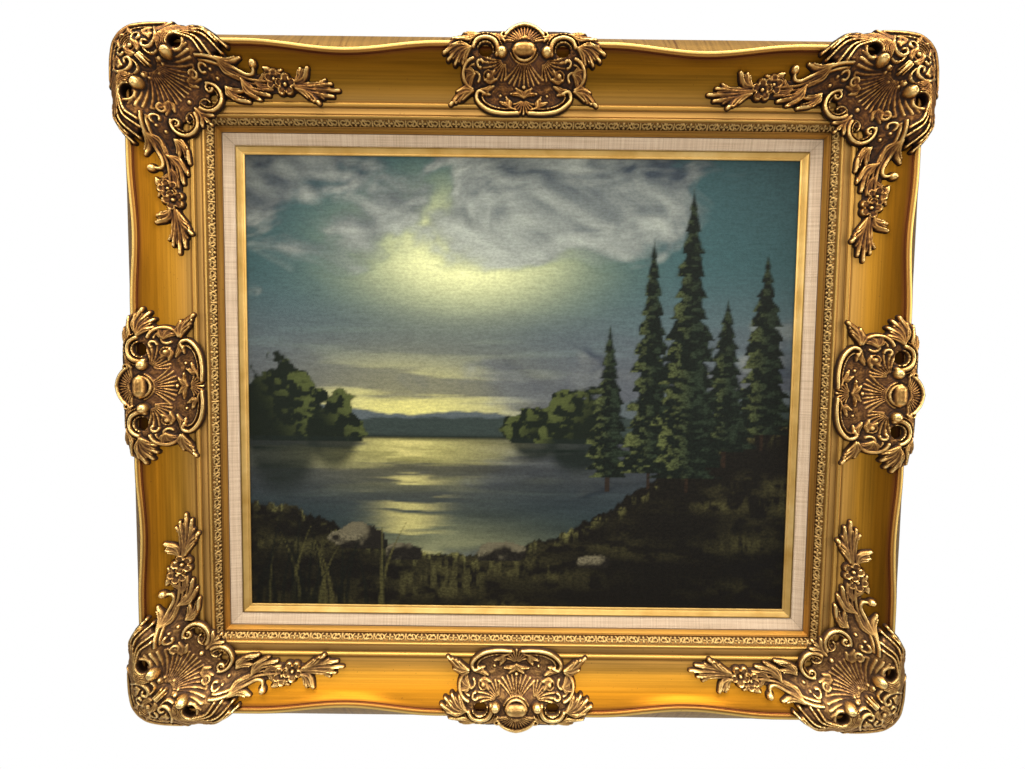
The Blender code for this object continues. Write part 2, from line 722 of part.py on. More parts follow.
def casting_mesh(casting, low, high, grain):
    """Points as (along, out, d) and triangles of a casting: a fine front, a plain back that fits its rail, and walls."""
    loops = outline(casting, low, high)
    points = []
    edges = []
    for loop in loops:
        start = len(points)
        points += [tuple(point) for point in loop]
        edges += [(start + i, start + (i + 1) % len(loop)) for i in range(len(loop))]
    loop_edges = len(edges)

    def line(first, second):
        points.extend([first, second])
        edges.append((len(points) - 2, len(points) - 1))

    for a in seat_under(0.0)[1]:
        if casting.folded:
            line((a, a), (a, low[1]))
            line((low[0], a), (a, a))
        else:
            line((low[0], a), (high[0], a))
    if casting.folded:
        line((0.0, 0.0), (high[0], high[1]))
    found = delaunay_2d_cdt([Vector(point) for point in points], edges, [], 0, SPOT_MERGE)
    spots = np.array([tuple(vector) for vector in found[0]])
    walls = set()
    for edge, made_from in zip(found[1], found[4]):
        if any(original < loop_edges for original in made_from):
            walls.add(tuple(sorted(edge)))
    back = inside_faces(spots, np.array(found[2]), walls, loops)
    used = np.unique(back)
    renumber = np.full(len(spots), -1)
    renumber[used] = np.arange(len(used))
    spots, back = spots[used], renumber[back]

    sides = np.sort(np.concatenate([back[:, [0, 1]], back[:, [1, 2]], back[:, [2, 0]]]), axis=1)
    sides, counts = np.unique(sides, axis=0, return_counts=True)
    rim = sides[counts == 1]
    on_rim = np.unique(rim)
    place_on_rim = {int(spot): i for i, spot in enumerate(on_rim)}
    rim_edges = [(place_on_rim[int(a)], place_on_rim[int(b)]) for a, b in rim]
    inner, crests = relief_points(casting, loops, grain)
    inputs = [Vector(spot) for spot in spots[on_rim]] + [Vector(point) for point in inner]
    crests = [(a + len(on_rim), b + len(on_rim)) for a, b in crests]
    found = delaunay_2d_cdt(inputs, rim_edges + crests, [], 0, SPOT_MERGE / 5)
    front_spots = np.array([tuple(vector) for vector in found[0]])
    now_at = {original: i for i, originals in enumerate(found[3]) for original in originals}
    rim_edges = [(now_at[a], now_at[b]) for a, b in rim_edges]
    walls = {tuple(sorted(edge)) for edge in rim_edges}
    front = inside_faces(front_spots, np.array(found[2]), walls, loops)

    heights = casting.top(front_spots)
    front_points = np.column_stack([front_spots, heights])
    back_points = np.column_stack([spots, casting.bottom(spots)])
    shift = len(back_points)
    faces = [list(face) for face in back.tolist()]
    faces += [[shift + i for i in face] for face in front.tolist()]
    for (a, b), (c, d) in zip(rim.tolist(), rim_edges):
        faces.append([a, b, shift + d])
        faces.append([a, shift + d, shift + c])
    return np.concatenate([back_points, front_points]) * (FRAME_OUT / PATTERN_W), faces


def castings():
    corner = Casting(corner_relief(), corner_webs(), [((49.0, 98.0), (6.4, 5.4))], CORNER_BODY, (-6.0, 26.0), True)
    points, faces = casting_mesh(corner, (-115, -115), (128, 128), CORNER_GRAIN)
    names = {"bottom": "bottom_left", "right": "bottom_right", "top": "top_right", "left": "top_left"}
    for side, name in names.items():
        half = side_frame(side)[2]
        placed = [place(side, -(half + u), v, d) for u, v, d in points]
        solid("corner_casting_" + name, placed, faces, antique_gilt())
    middle = Casting(centre_relief(), centre_webs(), [((39.0, 95.5), (6.8, 5.6))], CENTRE_BODY, (84.0, 48.0), False)
    points, faces = casting_mesh(middle, (-92, 24), (92, 134), CENTRE_GRAIN)
    for side in names:
        placed = [place(side, s, a, d) for s, a, d in points]
        solid("centre_casting_" + side, placed, faces, antique_gilt())


def main():
    clear_scene()
    for side in ("top", "bottom", "left", "right"):
        frame_rail(side)
        mitred("liner_" + side, side, liner_section(), linen())
        mitred("slip_" + side, side, slip_section(), gilt())
        mitred("stretcher_bar_" + side, side, stretcher_section(), pine())
    canvas_tray()
    castings()


main()
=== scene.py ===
"""Looks of the framed oil painting: cast ornament, gilt rails, linen liner, gilt slip and painted canvas.

Sizes are in millimetres. On a rail, a is the distance out from the picture opening, d is the height in
front of the opening, and s runs along the rail from its middle. The origin is the middle of the top rail's
flat back.
"""

import collections
import math

import bpy
import numpy as np
from mathutils import Matrix, Vector


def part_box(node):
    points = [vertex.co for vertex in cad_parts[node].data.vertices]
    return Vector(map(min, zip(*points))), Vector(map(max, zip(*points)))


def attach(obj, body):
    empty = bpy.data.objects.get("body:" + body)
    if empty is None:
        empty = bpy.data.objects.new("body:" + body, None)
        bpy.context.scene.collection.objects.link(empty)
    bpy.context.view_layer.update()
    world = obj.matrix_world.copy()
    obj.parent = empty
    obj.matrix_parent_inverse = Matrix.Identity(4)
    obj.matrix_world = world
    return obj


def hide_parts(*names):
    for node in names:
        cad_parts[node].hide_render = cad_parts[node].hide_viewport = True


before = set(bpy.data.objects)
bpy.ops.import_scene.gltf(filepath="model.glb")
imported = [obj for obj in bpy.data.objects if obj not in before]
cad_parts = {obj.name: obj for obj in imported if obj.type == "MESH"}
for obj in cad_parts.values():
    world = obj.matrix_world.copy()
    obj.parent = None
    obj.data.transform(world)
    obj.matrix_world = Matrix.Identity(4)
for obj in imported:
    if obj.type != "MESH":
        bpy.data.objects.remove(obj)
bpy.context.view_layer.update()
MM = 0.001

# Sizes of the solid model that the pieces here follow
SIGHT_W = 597.0
SIGHT_H = 495.0
CLEAR = 0.3
BACK = 30.0
SLIP_W = 8.5
SLIP_RISE = 5.6
SLIP_EDGE = 0.9
SLIP_BACK = -0.7
LINEN_OUT = 21.2
LINEN_LOW = 4.6
LINEN_HIGH = 8.4
TONGUE_W = 8.0
TONGUE_TOP = 5.9
LINER_BACK = -13.0
CANVAS_LAP = 6.4
CANVAS_T = 1.0
TURN_DEPTH = 19.0
FRAME_OUT = 116.8
EDGE_TOP = 9.4
COURSE_IN = 26.8
COURSE_OUT = 33.4
COURSE_LOW = 15.2
COURSE_HIGH = 21.6
BEAD_W = 3.8
BEAD_TOP = 24.5
FLAT_TOP = 23.4
FLAT_OUT = 44.4
FILLET_W = 5.2
FILLET_TOP = 26.2
COVE_LOW = 24.2
COVE_FIXED = 84.0
COVE_FIXED_TOP = 33.8
RIM_OUT = 106.0
LEVEL_SWING = 7.8
UPRIGHT_SWING = 3.6
RIM_W = 7.0
RIM_LIP = 3.3
RIM_TOP = 45.6
SIDE_TOP = 22.4
SWEEP_START = 84.0
SWEEP_END = 14.0
GLUE = 0.4
PLATE = 2.6
EDGE_MARGIN = 1.0
RABBET = LINEN_OUT + TONGUE_W + CLEAR
BACK_CENTRE = (RABBET + FRAME_OUT) / 2
MIDDLE_Z = -SIGHT_H / 2 - BACK_CENTRE

# Spacing of points on the castings, the course and the painting
CORNER_STEP = 0.8
CENTRE_STEP = 0.75
COURSE_STEP = 0.6
COURSE_PERIOD = 35.0
PAINT_STEP = 1.78

SIDES = ("bottom", "right", "top", "left")
# The corner at the start of each side
CORNERS = {"bottom": "bottom_left", "right": "bottom_right", "top": "top_right", "left": "top_left"}

# Thread spacing of the linen and of the canvas, in metres
LINEN_THREAD = 0.00105
CANVAS_THREAD = 0.0011

# Colours of the cast ornament from hollow to crest. They go from the lit ones at the first height, in
# metres, to the shaded ones at the second. This change with height is painted shade on the higher castings.
CAST_LIT_Z = -0.62
CAST_SHADED_Z = -0.20
CAST_STEPS = (0.16, 0.38, 0.55, 0.74, 0.96)
CAST_SHADED = (
    (0.020, 0.008, 0.003),
    (0.075, 0.028, 0.008),
    (0.220, 0.095, 0.026),
    (0.480, 0.260, 0.074),
    (0.880, 0.590, 0.220),
)
CAST_LIT = (
    (0.058, 0.026, 0.010),
    (0.165, 0.080, 0.028),
    (0.380, 0.205, 0.068),
    (0.660, 0.405, 0.135),
    (0.950, 0.680, 0.280),
)


def side_frame(side):
    """The rail's directions along and out, and half the opening's length along it and across."""
    out = {"bottom": (0, -1), "right": (1, 0), "top": (0, 1), "left": (-1, 0)}[side]
    along = (-out[1], out[0])
    level = side in ("bottom", "top")
    half = (SIGHT_W if level else SIGHT_H) / 2
    reach = (SIGHT_H if level else SIGHT_W) / 2
    return along, out, half, reach


def place(side, spots):
    """Turns (s, a, d) points on a rail into metres in the object's frame."""
    along, out, _, reach = side_frame(side)
    s, a, d = np.asarray(spots, float).T
    x = along[0] * s + out[0] * (reach + a)
    z = along[1] * s + out[1] * (reach + a) + MIDDLE_Z
    return np.column_stack([x, -(BACK + d), z]) * MM


def ease(value, low, high):
    share = np.clip((value - low) / (high - low), 0.0, 1.0)
    return share * share * (3 - 2 * share)


class Nodes:
    """Short calls to build one material's nodes."""

    def __init__(self, name):
        self.material = bpy.data.materials.new(name)
        self.material.use_nodes = True
        self.tree = self.material.node_tree
        self.shader = self.tree.nodes["Principled BSDF"]
        self.place = self.node("ShaderNodeTexCoord").outputs["Object"]

    def node(self, kind, **settings):
        made = self.tree.nodes.new(kind)
        for key, value in settings.items():
            setattr(made, key, value)
        return made

    def join(self, value, socket):
        if isinstance(value, bpy.types.NodeSocket):
            self.tree.links.new(value, socket)
        else:
            socket.default_value = value

    def scaled(self, scale):
        made = self.node("ShaderNodeMapping")
        self.join(self.place, made.inputs["Vector"])
        made.inputs["Scale"].default_value = scale
        return made.outputs["Vector"]

    def noise(self, scale, detail=4.0, stretch=None, rough=0.55):
        made = self.node("ShaderNodeTexNoise")
        self.join(self.scaled(stretch) if stretch else self.place, made.inputs["Vector"])
        made.inputs["Scale"].default_value = scale
        made.inputs["Detail"].default_value = detail
        made.inputs["Roughness"].default_value = rough
        return made.outputs["Fac"]

    def maths(self, operation, first, second=0.0):
        made = self.node("ShaderNodeMath", operation=operation)
        self.join(first, made.inputs[0])
        self.join(second, made.inputs[1])
        return made.outputs[0]

    def ramp(self, value, stops):
        made = self.node("ShaderNodeValToRGB")
        self.join(value, made.inputs[0])
        elements = made.color_ramp.elements
        while len(elements) < len(stops):
            elements.new(0.5)
        for element, (at, colour) in zip(elements, stops):
            element.position = at
            element.color = (*colour, 1.0) if len(colour) == 3 else colour
        return made.outputs["Color"]

    def grey(self, value):
        made = self.node("ShaderNodeCombineColor")
        for socket in made.inputs[:3]:
            self.join(value, socket)
        return made.outputs[0]

    def span(self, value, low, high, to_low=0.0, to_high=1.0):
        made = self.node("ShaderNodeMapRange")
        for socket, number in zip(made.inputs[:5], (value, low, high, to_low, to_high)):
            self.join(number, socket)
        return made.outputs[0]

    def mix(self, share, first, second, blend="MIX"):
        made = self.node("ShaderNodeMix", data_type="RGBA", blend_type=blend)
        self.join(share, made.inputs["Factor"])
        colours = [socket for socket in made.inputs if socket.type == "RGBA"]
        for socket, colour in zip(colours, (first, second)):
            self.join((*colour, 1.0) if isinstance(colour, tuple) else colour, socket)
        return [socket for socket in made.outputs if socket.type == "RGBA"][0]

    def attribute(self, name):
        return self.node("ShaderNodeAttribute", attribute_name=name)

    def axes(self):
        """The object's own x, y and z."""
        made = self.node("ShaderNodeSeparateXYZ")
        self.join(self.place, made.inputs[0])
        return list(made.outputs)

    def bump(self, height, distance, strength=1.0):
        made = self.node("ShaderNodeBump")
        self.join(height, made.inputs["Height"])
        made.inputs["Distance"].default_value = distance
        made.inputs["Strength"].default_value = strength
        self.tree.links.new(made.outputs["Normal"], self.shader.inputs["Normal"])

    def finish(self, colour, roughness, metallic):
        self.join(colour, self.shader.inputs["Base Color"])
        self.join(roughness, self.shader.inputs["Roughness"])
        self.join(metallic, self.shader.inputs["Metallic"])
        return self.material


def cast_gilt():
    """Bronze-gold cast ornament: patina in the hollows, gold on the crests, and painted shade higher up."""
    made = Nodes("cast_gilt")
    relief = made.node("ShaderNodeSeparateColor")
    made.join(made.attribute("relief").outputs["Color"], relief.inputs[0])
    height, basin = relief.outputs[0], relief.outputs[1]
    grime = made.noise(160.0, 5.0)
    worn = made.maths("ADD", height, made.span(grime, 0.3, 0.7, -0.10, 0.10))
    dark, bright = (made.ramp(worn, list(zip(CAST_STEPS, tones))) for tones in (CAST_SHADED, CAST_LIT))
    # Painted shade: the higher a casting hangs, the darker it is painted
    gold = made.mix(made.span(made.axes()[2], CAST_SHADED_Z, CAST_LIT_Z, 0.0, 1.0), dark, bright)
    dust = made.span(made.noise(28.0, 3.0), 0.4, 0.7, 0.0, 0.5)
    colour = made.mix(made.maths("MULTIPLY", basin, dust), gold, (0.20, 0.085, 0.040))
    made.bump(made.noise(900.0, 3.0), 0.0002, 0.5)
    roughness = made.span(worn, 0.2, 0.9, 0.60, 0.30)
    return made.finish(colour, roughness, made.span(worn, 0.2, 0.6, 0.60, 0.98))


def streaked_gilt(side):
    """Gilt that is rubbed lengthwise over a warm ground, with the band colours of the rail's section."""
    made = Nodes("streaked_gilt_" + side)
    level = side in ("bottom", "top")
    fine = (2.0, 500.0, 500.0) if level else (500.0, 500.0, 2.0)
    broad = (6.0, 90.0, 90.0) if level else (90.0, 90.0, 6.0)
    streaks = made.noise(1.0, 3.0, fine)
    bands = made.noise(1.0, 4.0, broad)
    tone = made.attribute("tone").outputs["Color"]
    lines = made.span(streaks, 0.3, 0.7, 0.80, 1.12)
    shade = made.maths("ADD", lines, made.span(bands, 0.3, 0.7, -0.14, 0.12))
    colour = made.mix(1.0, tone, made.grey(shade), "MULTIPLY")
    spots = made.span(made.noise(420.0, 2.0), 0.70, 0.76, 0.0, 0.55)
    colour = made.mix(spots, colour, (0.10, 0.045, 0.015))
    made.bump(streaks, 0.0002, 0.35)
    return made.finish(colour, made.span(bands, 0.3, 0.7, 0.40, 0.54), 0.95)


def side_gilt(side):
    """The flared side: dull gilt with uneven dark ribs across it."""
    made = Nodes("side_gilt_" + side)
    level = side in ("bottom", "top")
    ticks = made.noise(1.0, 2.0, (190.0, 0.0, 0.0) if level else (0.0, 0.0, 190.0))
    fine = made.noise(1.0, 2.0, (520.0, 30.0, 30.0) if level else (30.0, 30.0, 520.0))
    ribs = made.maths("ADD", made.maths("MULTIPLY", ticks, 0.7), made.maths("MULTIPLY", fine, 0.3))
    # Painted light: the top rail's side faces the light from above and is painted paler
    pale = (0.48, 0.27, 0.066) if side == "top" else (0.36, 0.21, 0.052)
    dull = tuple(0.7 * part for part in pale)
    colour = made.ramp(ribs, [(0.36, (0.16, 0.060, 0.012)), (0.44, dull), (0.66, pale)])
    made.bump(ribs, 0.0010, 0.6)
    return made.finish(colour, 0.44, 0.85)


def gilt_slip(name, shade):
    """Softly mottled gold leaf, as bright as shade says."""
    made = Nodes(name)
    blush = made.noise(35.0, 5.0)
    leaf_tones = ((0.3, (0.62, 0.36, 0.09)), (0.6, (0.80, 0.52, 0.17)), (0.8, (0.90, 0.64, 0.26)))
    colour = made.ramp(blush, [(at, tuple(shade * part for part in tone)) for at, tone in leaf_tones])
    made.bump(made.noise(500.0, 3.0), 0.0002, 0.4)
    return made.finish(colour, 0.38, 0.9)


def linen_cloth():
    """Plain weave of slubbed threads about a millimetre apart."""
    made = Nodes("linen_cloth")
    x, _, z = made.axes()
    threads = []
    for axis, slubbed in ((x, (9.0, 1.0, 160.0)), (z, (160.0, 1.0, 9.0))):
        wave = made.maths("MULTIPLY", axis, 2 * math.pi / LINEN_THREAD)
        wave = made.maths("ADD", wave, made.maths("MULTIPLY", made.noise(1.0, 2.0, slubbed), 5.0))
        threads.append(made.maths("SINE", wave))
    weave = made.maths("MAXIMUM", threads[0], threads[1])
    level = made.noise(1.0, 3.0, (12.0, 1.0, 560.0))
    upright = made.noise(1.0, 3.0, (560.0, 1.0, 12.0))
    slubs = made.maths("MULTIPLY", made.maths("ADD", level, upright), 0.5)
    stops = [(0.38, (0.64, 0.48, 0.32)), (0.50, (0.79, 0.61, 0.43)), (0.62, (0.89, 0.73, 0.54))]
    base = made.ramp(slubs, stops)
    colour = made.mix(made.span(weave, -0.6, 0.9, 0.50, 0.0), base, (0.36, 0.21, 0.12))
    made.bump(weave, 0.0004, 0.7)
    return made.finish(colour, 0.92, 0.0)


def oil_paint():
    """Brushed oil paint over a canvas weave. The points give its colour and how much it is dabbed."""
    made = Nodes("oil_paint")
    tone = made.attribute("paint").outputs["Color"]
    x, _, z = made.axes()
    turns = 2 * math.pi / CANVAS_THREAD
    weft, warp = (made.maths("SINE", made.maths("MULTIPLY", axis, turns)) for axis in (x, z))
    weave = made.maths("MULTIPLY", weft, warp)
    brush = made.noise(1.0, 4.0, (60.0, 1.0, 280.0), 0.6)
    dabs = made.span(made.noise(1.0, 4.0, (260.0, 1.0, 380.0)), 0.44, 0.56, -0.30, 0.34)
    dabs = made.maths("MULTIPLY", dabs, made.attribute("paint").outputs["Alpha"])
    threads = made.span(weave, -1.0, 1.0, -0.05, 0.05)
    light = made.maths("ADD", made.span(brush, 0.3, 0.7, 0.84, 1.10), threads)
    colour = made.mix(1.0, tone, made.grey(made.maths("ADD", light, dabs)), "MULTIPLY")
    height = made.maths("ADD", made.maths("MULTIPLY", weave, 0.35), brush)
    made.bump(height, 0.0004, 0.6)
    made.shader.inputs["Specular IOR Level"].default_value = 0.14
    return made.finish(colour, made.span(brush, 0.3, 0.7, 0.40, 0.58), 0.0)


def raw_canvas():
    """Unpainted cloth on the back and the turned sides."""
    made = Nodes("raw_canvas")
    fibre = made.noise(1.0, 3.0, (900.0, 400.0, 900.0))
    colour = made.ramp(fibre, [(0.3, (0.38, 0.30, 0.20)), (0.7, (0.60, 0.50, 0.36))])
    made.bump(fibre, 0.0003, 0.5)
    return made.finish(colour, 0.95, 0.0)


def pine_wood(level, stain):
    """Pine with its grain along the bar, stained on the back of the rails."""
    made = Nodes("pine_wood_%s_%s" % ("level" if level else "upright", "dark" if stain else "pale"))
    grain = made.noise(1.0, 5.0, (5.0, 130.0, 90.0) if level else (90.0, 130.0, 5.0))
    dark, mid, pale = (0.22, 0.12, 0.05), (0.42, 0.27, 0.13), (0.58, 0.41, 0.22)
    if stain:
        dark, mid, pale = (0.10, 0.055, 0.025), (0.20, 0.12, 0.06), (0.29, 0.19, 0.10)
    colour = made.ramp(grain, [(0.3, dark), (0.5, mid), (0.72, pale)])
    made.bump(grain, 0.0003, 0.5)
    return made.finish(colour, 0.75, 0.0)


def piece(name, points, faces, materials, indices=None, smooth=True, colours=None, attribute=None):
    """Makes one piece that rides on the object's body."""
    mesh = bpy.data.meshes.new(name)
    mesh.from_pydata(np.asarray(points).tolist(), [], faces)
    for material in materials:
        mesh.materials.append(material)
    if indices is not None:
        mesh.polygons.foreach_set("material_index", indices)
    mesh.polygons.foreach_set("use_smooth", [smooth] * len(mesh.polygons))
    if colours is not None:
        layer = mesh.color_attributes.new(attribute, "FLOAT_COLOR", "POINT")
        full = np.ones((len(points), 4), np.float32)
        full[:, : colours.shape[1]] = colours
        layer.data.foreach_set("color", full.ravel())
    mesh.update()
    made = bpy.data.objects.new(name, mesh)
    bpy.context.scene.collection.objects.link(made)
    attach(made, "root")
    return made


def sharpen(made, degrees):
    """Keeps the edges sharper than this angle crisp on a smooth piece."""
    made.data.set_sharp_from_angle(angle=math.radians(degrees))


# Rails

def rounded(points, radius, steps=3):
    """Rounds the inner corners of an open line of (a, d) points."""
    line = [points[0]]
    for before, here, after in zip(points, points[1:], points[2:]):
        before, here, after = (np.array(point, float) for point in (before, here, after))
        back = before - here
        on = after - here
        reach = min(radius, np.hypot(*back) * 0.45, np.hypot(*on) * 0.45)
        start = here + back / np.hypot(*back) * reach
        end = here + on / np.hypot(*on) * reach
        for i in range(steps + 1):
            t = i / steps
            line.append(tuple(start * (1 - t) ** 2 + here * 2 * t * (1 - t) + end * t**2))
    line.append(points[-1])
    return line


def bead(start, end, height, steps=7):
    """A half-round bead between two points of a section."""
    line = []
    for i in range(steps + 1):
        t = i / steps
        a = start[0] + (end[0] - start[0]) * (1 - math.cos(math.pi * t)) / 2
        d = start[1] + (end[1] - start[1]) * t + height * math.sin(math.pi * t)
        line.append((a, d))
    return line


def inner_line():
    """The fixed front of a rail, from its inner edge to the last line of the cove that doesn't swing."""
    course_bead = COURSE_OUT + 0.5
    fillet = FLAT_OUT + 0.4
    cove = FLAT_OUT + FILLET_W
    bead_out = COURSE_OUT + BEAD_W
    height = BEAD_TOP - COURSE_HIGH - 0.8
    edge = [(LINEN_OUT, EDGE_TOP), (COURSE_IN - 2.4, COURSE_LOW - 1.4), (COURSE_IN - 2.2, COURSE_LOW - 0.9)]
    line = rounded(edge, 1.0)
    line += bead((COURSE_IN - 2.0, COURSE_LOW - 0.9), (COURSE_IN, COURSE_LOW - 0.4), 0.9)
    line += [(COURSE_OUT - 0.2, COURSE_HIGH - 0.2), (COURSE_OUT + 0.2, COURSE_HIGH - 0.2)]
    line += bead((course_bead, COURSE_HIGH + 0.4), (bead_out - 0.2, FLAT_TOP - 0.6), height)
    line += [(bead_out + 0.3, FLAT_TOP - 0.5), (bead_out + 0.8, FLAT_TOP), (FLAT_OUT - 1.0, FLAT_TOP)]
    line += [(FLAT_OUT - 0.4, FLAT_TOP - 0.7), (fillet - 0.2, FLAT_TOP - 0.5)]
    line += bead((fillet, FLAT_TOP), (cove, COVE_LOW - 0.2), FILLET_TOP - (FLAT_TOP + COVE_LOW) / 2)
    steps = 14
    for i in range(1, steps + 1):
        t = i / steps
        line.append((cove + (COVE_FIXED - cove) * t, COVE_LOW + (COVE_FIXED_TOP - COVE_LOW) * t**2.1))
    return line


def outer_line(rim):
    """The swinging rest of the front: the cove's lip, the groove, the rim and the flared side."""
    lip = rim - RIM_W
    rise = RIM_TOP - RIM_LIP - COVE_FIXED_TOP
    line = []
    for i in range(1, 5):
        t = i / 4
        line.append((COVE_FIXED + (lip - COVE_FIXED) * t, COVE_FIXED_TOP + rise * t**1.15))
    line += [(lip + 0.4, RIM_TOP - RIM_LIP - 0.5), (lip + 1.4, RIM_TOP - RIM_LIP + 0.3)]
    line += bead((lip + 1.6, RIM_TOP - 2.2), (rim, RIM_TOP - 1.2), 1.2)
    line += [(rim + (FRAME_OUT - rim) * 0.35, RIM_TOP - (RIM_TOP - SIDE_TOP) * 0.35), (FRAME_OUT, SIDE_TOP)]
    return line


def rim_at(s, side):
    """The crest swings in between the castings, further on the level rails than on the upright ones."""
    end = side_frame(side)[2] - SWEEP_END
    share = min(max((abs(s) - SWEEP_START) / (end - SWEEP_START), 0.0), 1.0)
    swing = LEVEL_SWING if side in ("bottom", "top") else UPRIGHT_SWING
    return RIM_OUT - swing * math.sin(math.pi * share) ** 2


# Where each band of the section starts, out from the opening, and its colour. The narrow dark bands in
# the recesses between the mouldings are painted shade.
BANDS = [
    (20.0, (0.50, 0.28, 0.060)),
    (24.3, (0.46, 0.24, 0.050)),
    (25.6, (0.20, 0.09, 0.022)),
    (26.9, (0.56, 0.31, 0.070)),
    (33.3, (0.14, 0.06, 0.016)),
    (34.2, (0.74, 0.46, 0.130)),
    (36.8, (0.26, 0.12, 0.030)),
    (38.2, (0.66, 0.38, 0.110)),
    (42.6, (0.60, 0.34, 0.090)),
    (43.9, (0.12, 0.05, 0.014)),
    (45.0, (0.72, 0.43, 0.110)),
    (48.4, (0.50, 0.27, 0.060)),
    (49.8, (0.16, 0.07, 0.016)),
]
# The gilding under the middle castings is painted darker as painted shade, which shows through their
# openings. The top rail's is dark enough without it.
SHADE_UNDER_ALONG = 56.0
SHADE_UNDER_FROM = 85.0
# How bright the gilding is in the inner and the outer part of the cove on each side: painted light
# and shade, brighter where the cove faces the light from above and darker where it faces away.
COVE_PAINTED_LIGHT = {"bottom": (1.45, 1.18), "right": (1.22, 0.43), "top": (0.41, 0.48), "left": (0.84, 0.88)}
# How bright the ornament course's crests are on the level rails, as painted shade
COURSE_LEVEL_SHADE = 0.88
# Width of the slip's outer edge, which lies in shade: its gilt is painted darker as painted shade
SLIP_SHADED = 1.5


def tones(side, a, rim):
    """Colours across the section. The groove and rim follow the swing; the cove's painted light is the
    side's.
    """
    swing = rim - RIM_W
    # Painted light and shade of the cove on this side
    near, far = COVE_PAINTED_LIGHT[side]
    stops = BANDS + [
        (51.5, near * np.array((0.56, 0.31, 0.075))),
        (68.0, (near + far) / 2 * np.array((0.62, 0.30, 0.030))),
        (84.0, far * np.array((0.52, 0.22, 0.012))),
        (swing - 1.5, far * np.array((0.40, 0.16, 0.010))),
        # Painted shade in the rim's grooves and a painted highlight on its crest
        (swing + 0.4, (0.13, 0.036, 0.010)),
        (swing + 1.4, (0.15, 0.042, 0.012)),
        (swing + 1.9, (0.50, 0.24, 0.05)),
        (swing + 2.6, (0.52, 0.25, 0.05)),
        (swing + 3.7, (0.27, 0.11, 0.025)),
        (swing + 4.6, (0.92, 0.64, 0.20)),
        (swing + 6.2, (0.86, 0.58, 0.17)),
        (rim, (0.42, 0.24, 0.06)),
        (FRAME_OUT, (0.34, 0.20, 0.08)),
    ]
    at = [stop[0] for stop in stops]
    return np.column_stack([np.interp(a, at, [stop[1][i] for stop in stops]) for i in range(3)])


def sweep_faces(rows, count):
    """Faces of a closed section that is repeated along a rail, with a cap at each end."""
    faces = []
    for row in range(rows - 1):
        low, high = row * count, (row + 1) * count
        for i in range(count):
            j = (i + 1) % count
            faces.append((low + i, low + j, high + j, high + i))
    last = (rows - 1) * count
    return faces + [tuple(range(count)), tuple(last + i for i in reversed(range(count)))]


def rail(side):
    """One frame rail: long faces inside, and stations where the rim swings."""
    half = side_frame(side)[2]
    inner = inner_line()
    ledge = EDGE_TOP - 3.2
    behind = [(FRAME_OUT, -BACK), (RABBET, -BACK), (RABBET, ledge), (LINEN_OUT, ledge)]
    first = half - SWEEP_END
    stations = np.linspace(-first, first, 75)
    points = []
    colours = []
    for index in range(-1, len(stations) + 1):
        end = index in (-1, len(stations))
        s = (half if index > 0 else -half) if end else stations[index]
        # The stations near the ends lean towards the mitre, so that no long thin faces meet it
        lean = np.clip((abs(s) - SWEEP_START) / (half - SWEEP_START), 0.0, 1.0) ** 3
        rim = rim_at(abs(s) + lean * RIM_OUT, side)
        section = inner + outer_line(rim) + behind
        across = np.array([point[0] for point in section])
        along = s + np.sign(s) * lean * (across - CLEAR / 2)
        points.append(np.column_stack([along, across, [point[1] for point in section]]))
        # Painted shade under the middle castings, seen through their openings
        shaded_under_casting = (np.abs(along) < SHADE_UNDER_ALONG) & (across > SHADE_UNDER_FROM) & (side != "top")
        colours.append(tones(side, across, rim) * np.where(shaded_under_casting, 0.25, 1.0)[:, None])
    count = len(section)
    side_from = len(inner) + len(outer_line(RIM_OUT)) - 3
    pattern = [0] * side_from + [1] * 3 + [2] * (count - side_from - 3)
    level = side in ("bottom", "top")
    made = piece(
        "rail_" + side,
        place(side, np.concatenate(points)),
        sweep_faces(len(points), count),
        [STREAKED[side], side_gilt(side), pine_wood(level, True)],
        pattern * (len(points) - 1) + [2, 2],
        colours=np.concatenate(colours),
        attribute="tone",
    )
    sharpen(made, 40)
    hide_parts("frame_rail_" + side)


def swept(name, side, section, materials, indices):
    """A straight piece of one closed section, mitred at both ends."""
    half = side_frame(side)[2]
    a, d = np.array(section).T
    ends = [np.column_stack([share * (half + a - CLEAR / 2), a, d]) for share in (-1, 1)]
    points = place(side, np.concatenate(ends))
    made = piece(name, points, sweep_faces(2, len(section)), materials, indices + [indices[-1]] * 2)
    sharpen(made, 35)
    return made


def slip(side):
    """The gilt slip: a flat bead at the picture, a bevel and a thin raised outer edge."""
    bevel = [(2.0, SLIP_EDGE + 0.5), (2.3, SLIP_EDGE + 0.1), (SLIP_W - 1.4, SLIP_RISE - 0.6)]
    section = rounded([(0.0, SLIP_BACK), (0.0, SLIP_EDGE)] + bevel, 0.35)
    section += bead((SLIP_W - 1.1, SLIP_RISE - 0.5), (SLIP_W, SLIP_RISE - 0.4), 0.4, 4)
    section.append((SLIP_W, SLIP_BACK))
    indices = [int(a > SLIP_W - SLIP_SHADED) for a, _ in section]
    made = swept("slip_leaf_" + side, side, section, [SLIP_LEAF, SLIP_SHADE], indices)
    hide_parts("slip_" + side)


def liner(side):
    """The linen liner: cloth drawn over a bevelled wooden moulding with soft edges."""
    inner = SLIP_W + CLEAR
    outer = LINEN_OUT - CLEAR
    front = [(inner, LINER_BACK), (inner, LINEN_LOW), (outer, LINEN_HIGH)]
    front = rounded(front + [(outer, TONGUE_TOP), (outer + 0.5, TONGUE_TOP)], 0.9, 4)
    wood = [(LINEN_OUT + TONGUE_W, TONGUE_TOP), (LINEN_OUT + TONGUE_W, LINER_BACK)]
    indices = [0] * (len(front) - 1) + [1, 1, 1]
    looks = [LINEN, PINE[side in ("bottom", "top")]]
    made = swept("linen_" + side, side, front + wood, looks, indices)
    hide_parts("liner_" + side)


